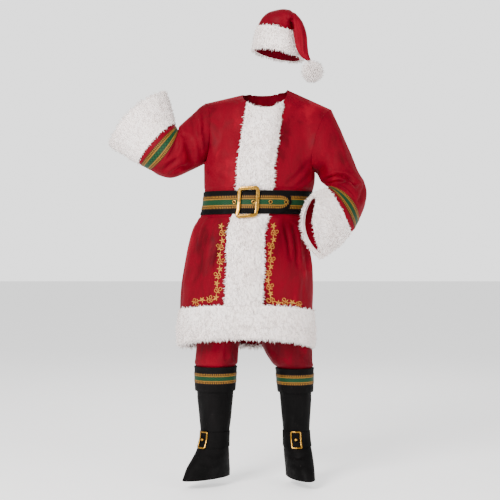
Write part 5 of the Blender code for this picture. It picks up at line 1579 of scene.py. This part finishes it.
def buildTrousers():
    # Each leg's grid refined and creased between waist and boot, and the waistband as a closed loop above
    look = trouserLook
    tops, pieces = {}, {}
    for name in ("right", "left"):
        side = shoulders[name].side
        grid = legGrid(name)
        normals = gridNormals(grid) * -side
        centre = grid.mean(axis=1, keepdims=True)
        if np.sum((grid[4:8] - centre[4:8]) * normals[4:8]) < 0:
            normals = -normals
        tops[name] = (grid[0], normals[0])
        fine = refine(untwisted(grid, 9), look["rowsBy"], look["columnsBy"])
        out = gridNormals(fine)
        out = out * np.sign(np.sum(normals[5, 4] * out[5 * look["rowsBy"], 4 * look["columnsBy"]]))
        for column in (0, -1):
            out[:, column] = unit(out[:, column] * levelPart)
        rows = np.arange(len(fine))[:, None] / look["rowsBy"]
        share = np.abs(np.linspace(-1, 1, fine.shape[1]))[None, :]
        free = smoothStep(0, 1, rows) * smoothStep(8.6, 7.4, rows) * smoothStep(1.0, 0.9, share)
        dent = creased(fine, out, look[name]) + rumple(fine, 61 if side < 0 else 62, 9, (2.6, 2.6, 1.4), 0.0020)
        dent = dent * free
        outer = fine - out * dent[..., None]
        over = outer[..., 2] - bootPieceTop(name)
        full = look["overCuff"][name] * np.exp(-((over - 0.010) / 0.015) ** 2) * smoothStep(-0.001, 0.007, over)
        outer = outer + out * levelPart * full[..., None]
        outer[..., 2] -= look["sag"][name] * smoothStep(0.0, 0.035, over) * smoothStep(0.14, 0.05, over)
        # The legs wear the darker velour copy, painted shade of the coat's hem
        pieces[name] = wall("trouserLeg" + name.capitalize(), outer, outer - out * cloth, hemShadedTrouserVelour)
    right, left = tops["right"], tops["left"]
    loop = np.concatenate([left[0], right[0][::-1]])
    out = np.concatenate([left[1], right[1][::-1]])
    out[[0, legColumns, legColumns + 1, -1]] = 0.0
    out[[0, legColumns, legColumns + 1, -1], 1] = np.sign(loop[[0, legColumns, legColumns + 1, -1], 1])
    keep = np.ones(len(loop), bool)
    keep[[legColumns + 1, -1]] = False
    loop, out = loop[keep], unit(out[keep])
    loop[[0, legColumns], 0] = crotchX
    heights = np.array([seamGap, waistbandHeight / 2, waistbandHeight])
    rows = loop[None] + np.array([0.0, 0.0, 1.0]) * heights[:, None, None]
    outer = refine(rows, 4, 6, around=True)
    inner = refine(rows - out[None] * 1.5 * cloth, 4, 6, around=True)
    pieces["waistband"] = wall("trouserWaistband", outer, inner, hemShadedTrouserVelour, around=True)
    return pieces


trousers = buildTrousers()
print("trousers made")

# Boot covers

bootLook = {
    "rowsBy": 7, "columnsBy": 6,
    "right": (
        ([(-22.5, -139.5), (-19.0, -141.0), (-16.0, -140.0)], 6, 3.5, 1),
        ([(-24.0, -143.5), (-20.0, -144.5), (-17.0, -143.5)], 7, 3.0, 1),
        ([(-19.5, -121.0), (-20.5, -127.0), (-19.5, -131.0)], 10, 2.5, 1),
        ([(-22.0, -137.5), (-18.0, -139.0), (-14.0, -137.5)], 6, 3.5, -1),
        ([(-20.0, -120.0), (-18.0, -126.0), (-19.0, -131.0)], 10, 2.5, -1),
    ),
    "left": (
        ([(10.0, -140.0), (14.0, -141.5), (17.5, -140.0)], 6, 3.5, 1),
        ([(11.0, -144.0), (14.5, -145.0), (18.5, -144.0)], 7, 3.0, 1),
        ([(12.0, -121.0), (13.2, -127.0), (12.6, -131.5)], 10, 2.5, 1),
        ([(10.5, -137.5), (14.0, -139.0), (17.0, -137.5)], 6, 3.5, -1),
    ),
}


def buildBoot(name):
    # Shaft creased, folded cuff with a rolled top, braid, strap, square buckle and stud
    look = bootLook
    cap = name.capitalize()
    grid, normals = bootGrid(name, boots[name])
    fine = refine(grid, look["rowsBy"], look["columnsBy"], around=True)
    out = outwardRings(fine)
    rows = np.arange(len(fine))[:, None] / look["rowsBy"]
    underStrap = smoothStep(4.3, 4.9, rows) * smoothStep(7.6, 7.1, rows)
    free = smoothStep(3.0, 3.8, rows) * (1 - underStrap) * smoothStep(10.0, 9.2, rows)
    dent = creased(fine, out, look[name]) + rumple(fine, 71 if name == "right" else 72, 9, (3.0, 3.0, 2.4), 0.0011)
    dent = dent * free
    dent = dent + 0.0008 * (rows < 2.6) + 0.0008 * smoothStep(4.9, 5.2, rows) * smoothStep(7.1, 6.8, rows)
    outer = fine - out * dent[..., None]
    pieces = {"shaft": wall("bootShaft" + cap, outer, outer - out * cloth, blackVelour, around=True)}

    cuffRows = slice(0, bootCuffRows)
    low = grid[cuffRows] + normals[cuffRows] * np.array(bootCuffLow)[:, None, None]
    high = grid[cuffRows] + normals[cuffRows] * np.array(bootCuffHigh)[:, None, None]
    fineLow, fineHigh = refine(low, 10, look["columnsBy"], True), refine(high, 10, look["columnsBy"], True)
    share = np.linspace(0, 1, len(fineHigh))[:, None, None]
    roll = 0.0016 * np.exp(-(share / 0.10) ** 2) - 0.0012 * np.exp(-((share - 1.0) / 0.05) ** 2)
    push = unit(refine(normals[cuffRows], 10, look["columnsBy"], True))
    pieces["cuff"] = wall("bootCuff" + cap, fineHigh + push * roll, fineLow, blackVelour, around=True)

    places = np.sort(np.append(np.array(bootBraidSpan) * (bootCuffRows - 1), 1.0))
    span = np.array([blend(high[int(p)], high[min(int(p) + 1, 2)], p % 1) for p in places])
    pieces["braid"] = buildBraid("bootBraid" + cap, span, outwardRings(span), True)

    strapRows = slice(bootStrapRows[0], bootStrapRows[1] + 1)
    strapLow = refine(grid[strapRows] + normals[strapRows] * seamGap, 6, look["columnsBy"], True)
    strapHigh = refine(grid[strapRows] + normals[strapRows] * (seamGap + strap), 6, look["columnsBy"], True)
    pieces["strap"] = wall("bootStrap" + cap, strapHigh, strapLow, blackVelour, around=True)

    turn, height = bootBuckle[name]
    column = turn / 360 * bootColumns
    spacing = float(np.mean(np.linalg.norm(np.diff(grid[bootStrapRows[0] + 1], axis=0), axis=-1)))
    lift = seamGap + strap + smallBuckle["bar"] + buckleClearance
    course = frameCourse(smallBuckle["width"], smallBuckle["height"], smallBuckle["corner"] * 0.6, 72)
    path = np.array([onShaft(grid, normals, column + u / spacing, height + v, lift) for u, v in course])
    seat = np.array([onShaft(grid, normals, column + u / spacing, height + v, 0.0) for u, v in course])
    pieces["buckle"] = ringTube("bootBuckle" + cap, path, unit(path - seat), 1.9 * smallBuckle["bar"],
                                1.7 * smallBuckle["bar"], gold, 12)
    lowCorner, highCorner = (np.array(corner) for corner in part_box("boot_stud_" + name))
    middle = (lowCorner + highCorner) / 2
    facing = unit(middle - onShaft(grid, normals, column, height, 0.0))
    first = unit(np.cross(facing, [0.0, 0.0, 1.0]))
    second = np.cross(first, facing)
    lie = np.linspace(0.02, 0.98, 14) * math.pi
    rim = 1 + 0.12 * np.exp(-((lie - 1.9) / 0.3) ** 2)
    profile = np.stack([np.sin(lie) * rim, np.cos(lie) * 0.8], axis=-1) * studRadius
    pathRod = middle + facing * profile[:, 1:2]
    turns = roundTurns(24)
    ring = np.cos(turns)[None, :, None] * first + np.sin(turns)[None, :, None] * second
    outerRing = pathRod[:, None] + ring * profile[:, :1, None]
    innerRing = pathRod[:, None] + ring * profile[:, :1, None] * 0.02
    pieces["stud"] = wall("bootStud" + cap, outerRing, innerRing, gold, around=True)
    return pieces


bootPieces = {name: buildBoot(name) for name in ("right", "left")}
print("boot covers made")

# Hat

hatLook = {
    "rowsBy": 6, "columnsBy": 6, "pompomLocks": 3200, "pompomLength": 0.0200, "pompomWidth": 0.0040,
    "creases": (
        ([(12.0, 33.4), (11.6, 30.4), (12.2, 27.5), (12.6, 25.0)], 5, 8.0, 1),
        ([(13.7, 30.4), (14.2, 24.8), (14.7, 18.0)], 5, 4.0, 1),
        ([(16.0, 28.2), (17.1, 22.5), (17.4, 17.5)], 5, 4.5, 1),
        ([(15.4, 26.5), (15.9, 21.5), (16.2, 17.0)], 4, -2.5, 1),
        ([(2.0, 31.0), (5.0, 29.0), (9.0, 28.5)], 9, 3.0, 1),
        ([(10.4, 32.5), (9.6, 29.0), (10.2, 26.0)], 6, -3.0, 1),
        ([(1.0, 27.5), (5.0, 30.5), (11.0, 31.0)], 9, 5.0, -1),
        ([(6.0, 25.0), (9.0, 28.0), (12.0, 28.0)], 8, 4.0, -1),
    ),
}


def buildHat():
    # Crown and folded tail from the hat's rings, creased; plush band; pompom of locks grown from a core
    grid = outlineRings(hat, roundTurns(hatColumns), -1)
    normals = outwardRings(grid)
    look = hatLook
    fine = refine(grid, look["rowsBy"], look["columnsBy"], around=True)
    out = outwardRings(fine)
    rows = np.arange(len(fine))[:, None] / look["rowsBy"]
    free = smoothStep(2.0, 2.8, rows) * smoothStep(13.0, 11.5, rows)
    dent = (creased(fine, out, look["creases"]) + rumple(fine, 81, 9, (3.4, 3.4, 2.8), 0.0016)) * free
    dent = dent + 0.0015 * (rows < 1.8)
    outer = fine - out * dent[..., None]
    crown = wall("hatCrown", outer, outer - out * 0.75 * cloth, redVelour, around=True)
    rows = slice(hatBandRows[0], hatBandRows[1] + 1)
    high = np.array([[0.8 * plushHeight], [plushHeight], [plushEdge]]) + 0 * grid[rows][..., 0]
    edges = [((0, every), (2, every)), ((-1, every), (-3, every))]
    band = plushBand("hatBand", grid[rows], normals[rows], high, *plushLook["cells"]["hatBand"], True, 83,
                     (0.05, 0, -1.0), edges)

    rng = np.random.default_rng(91)
    middle = slideOnSightLine(np.array([pompom["middle"]]))[0]
    lie = np.linspace(0.03, 0.97, 16) * math.pi
    turns = roundTurns(28)
    core = pompom["core"] * 0.98
    ball = np.stack([np.sin(lie)[:, None] * np.cos(turns), np.sin(lie)[:, None] * np.sin(turns),
                     np.cos(lie)[:, None] + 0 * turns], axis=-1)
    bump = 1 + 0.05 * np.sin(ball[..., 0] * 9 + 1.0) * np.cos(ball[..., 1] * 8) + 0.04 * np.sin(ball[..., 2] * 11)
    outer = middle + ball * core * bump[..., None]
    ballPiece = wall("pompomCore", outer, middle + ball * core * 0.3, plush, around=True)
    number = look["pompomLocks"]
    height = rng.uniform(-1, 1, number)
    turn = rng.uniform(0, 2 * np.pi, number)
    ways = np.stack([np.sqrt(1 - height ** 2) * np.cos(turn), np.sqrt(1 - height ** 2) * np.sin(turn), height], axis=-1)
    feet = middle + ways * core * 0.92
    bends = unit(np.array([0.0, 0.0, -0.7]) + rng.normal(size=(number, 3)) * 0.9)
    lean = unit(ways + rng.normal(size=(number, 3)) * 0.28)
    locks = lockMesh("pompomPile", feet, lean, bends, look["pompomLength"] * rng.uniform(0.7, 1.05, number),
                     look["pompomWidth"] * rng.uniform(0.7, 1.25, number))
    return crown, band, (ballPiece, locks)


hatPieces = buildHat()
print("hat made")

# The imported nodes that the pieces stand for, hidden


def declare(nodes):
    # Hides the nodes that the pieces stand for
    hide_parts(*nodes)


for name in ("right", "left"):
    declare(["coat_front_" + name])
declare(["coat_back"])
for name in ("right", "left"):
    declare(["sleeve_" + name])
    declare(["sleeve_braid_" + name])
    declare(["cuff_fur_" + name])
    declare(["trouser_leg_" + name])
    declare(["boot_shaft_" + name])
    declare(["boot_cuff_" + name])
    declare(["boot_braid_" + name])
    declare(["boot_strap_" + name])
    for key, node in (("buckle", "boot_buckle_"), ("stud", "boot_stud_")):
        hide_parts(node + name)
declare(["trouser_waistband"])
declare(["front_fur"])
declare(["hem_fur"])
declare(["belt_strap"])
declare(["belt_braid"])
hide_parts("belt_buckle")
declare(["hat_crown"])
declare(["hat_fur_band"])
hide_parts("hat_pompom")

# Floor, light and camera

studioLook = {"floorHeight": -1.522, "floorHalf": 30.0, "floorColour": (0.94, 0.94, 0.94), "floorGlow": 0.75,
              "worldStrength": 0.70, "backdrop": 2.05, "tint": (1.0, 0.965, 0.945), "aim": (-0.03, 0.0, -0.55),
              "photoPixels": 500, "pixelsPerMetre": 255.0,
              "key": ((-2.2, -3.6, 1.6), 340.0, 1.8), "fill": ((3.0, -3.2, 0.2), 90.0, 2.4),
              "back": ((0.4, 3.4, 2.0), 60.0, 2.0)}


def buildStudio():
    # Pale floor plane, white surroundings, three soft area lights, and the camera at the photograph's angle
    half, height = studioLook["floorHalf"], studioLook["floorHeight"]
    corners = np.array([(-half, -half, height), (half, -half, height), (half, half, height), (-half, half, height)])
    mesh = bpy.data.meshes.new("studioFloor")
    mesh.from_pydata(corners.tolist(), [], [(0, 1, 2, 3)])
    material, tree, shader = newMaterial("paleFloor", 0.9, specular=0.1)
    place = objectPlace(tree)
    speckle = addNoise(tree, place, 3.0, 2.0)
    tone = studioLook["floorColour"]
    colour = addRamp(tree, speckle, [(0.3, tone), (0.7, tuple(c * 1.02 for c in tone))])
    tree.links.new(colour, shader.inputs["Base Color"])
    shader.inputs["Emission Color"].default_value = (1.0, 1.0, 1.0, 1.0)
    shader.inputs["Emission Strength"].default_value = studioLook["floorGlow"]
    mesh.materials.append(material)
    floor = bpy.data.objects.new("studioFloor", mesh)
    bpy.context.scene.collection.objects.link(floor)
    world = bpy.data.worlds.new("whiteStudio")
    world.use_nodes = True
    background = world.node_tree.nodes["Background"]
    seen = world.node_tree.nodes.new("ShaderNodeLightPath")
    strength = world.node_tree.nodes.new("ShaderNodeMapRange")
    strength.inputs["To Min"].default_value = studioLook["worldStrength"]
    strength.inputs["To Max"].default_value = studioLook["backdrop"]
    world.node_tree.links.new(seen.outputs["Is Camera Ray"], strength.inputs["Value"])
    world.node_tree.links.new(strength.outputs["Result"], background.inputs["Strength"])
    background.inputs["Color"].default_value = (1.0, 1.0, 1.0, 1.0)
    bpy.context.scene.world = world
    for name in ("key", "fill", "back"):
        spot, power, size = studioLook[name]
        light = bpy.data.lights.new(name, "AREA")
        light.energy = power
        light.color = studioLook["tint"]
        light.size = size
        lamp = bpy.data.objects.new(name, light)
        lamp.location = spot
        aim = Vector(studioLook["aim"]) - Vector(spot)
        lamp.rotation_euler = aim.to_track_quat("-Z", "Y").to_euler()
        bpy.context.scene.collection.objects.link(lamp)
    lens = bpy.data.cameras.new("photoCamera")
    lens.sensor_width = 36.0
    lens.lens = lens.sensor_width * -eye.y / (studioLook["photoPixels"] / studioLook["pixelsPerMetre"])
    camera = bpy.data.objects.new("photoCamera", lens)
    camera.location = eye
    camera.rotation_euler = (math.pi / 2, 0.0, 0.0)
    bpy.context.scene.collection.objects.link(camera)
    bpy.context.scene.camera = camera


buildStudio()
print("studio made")
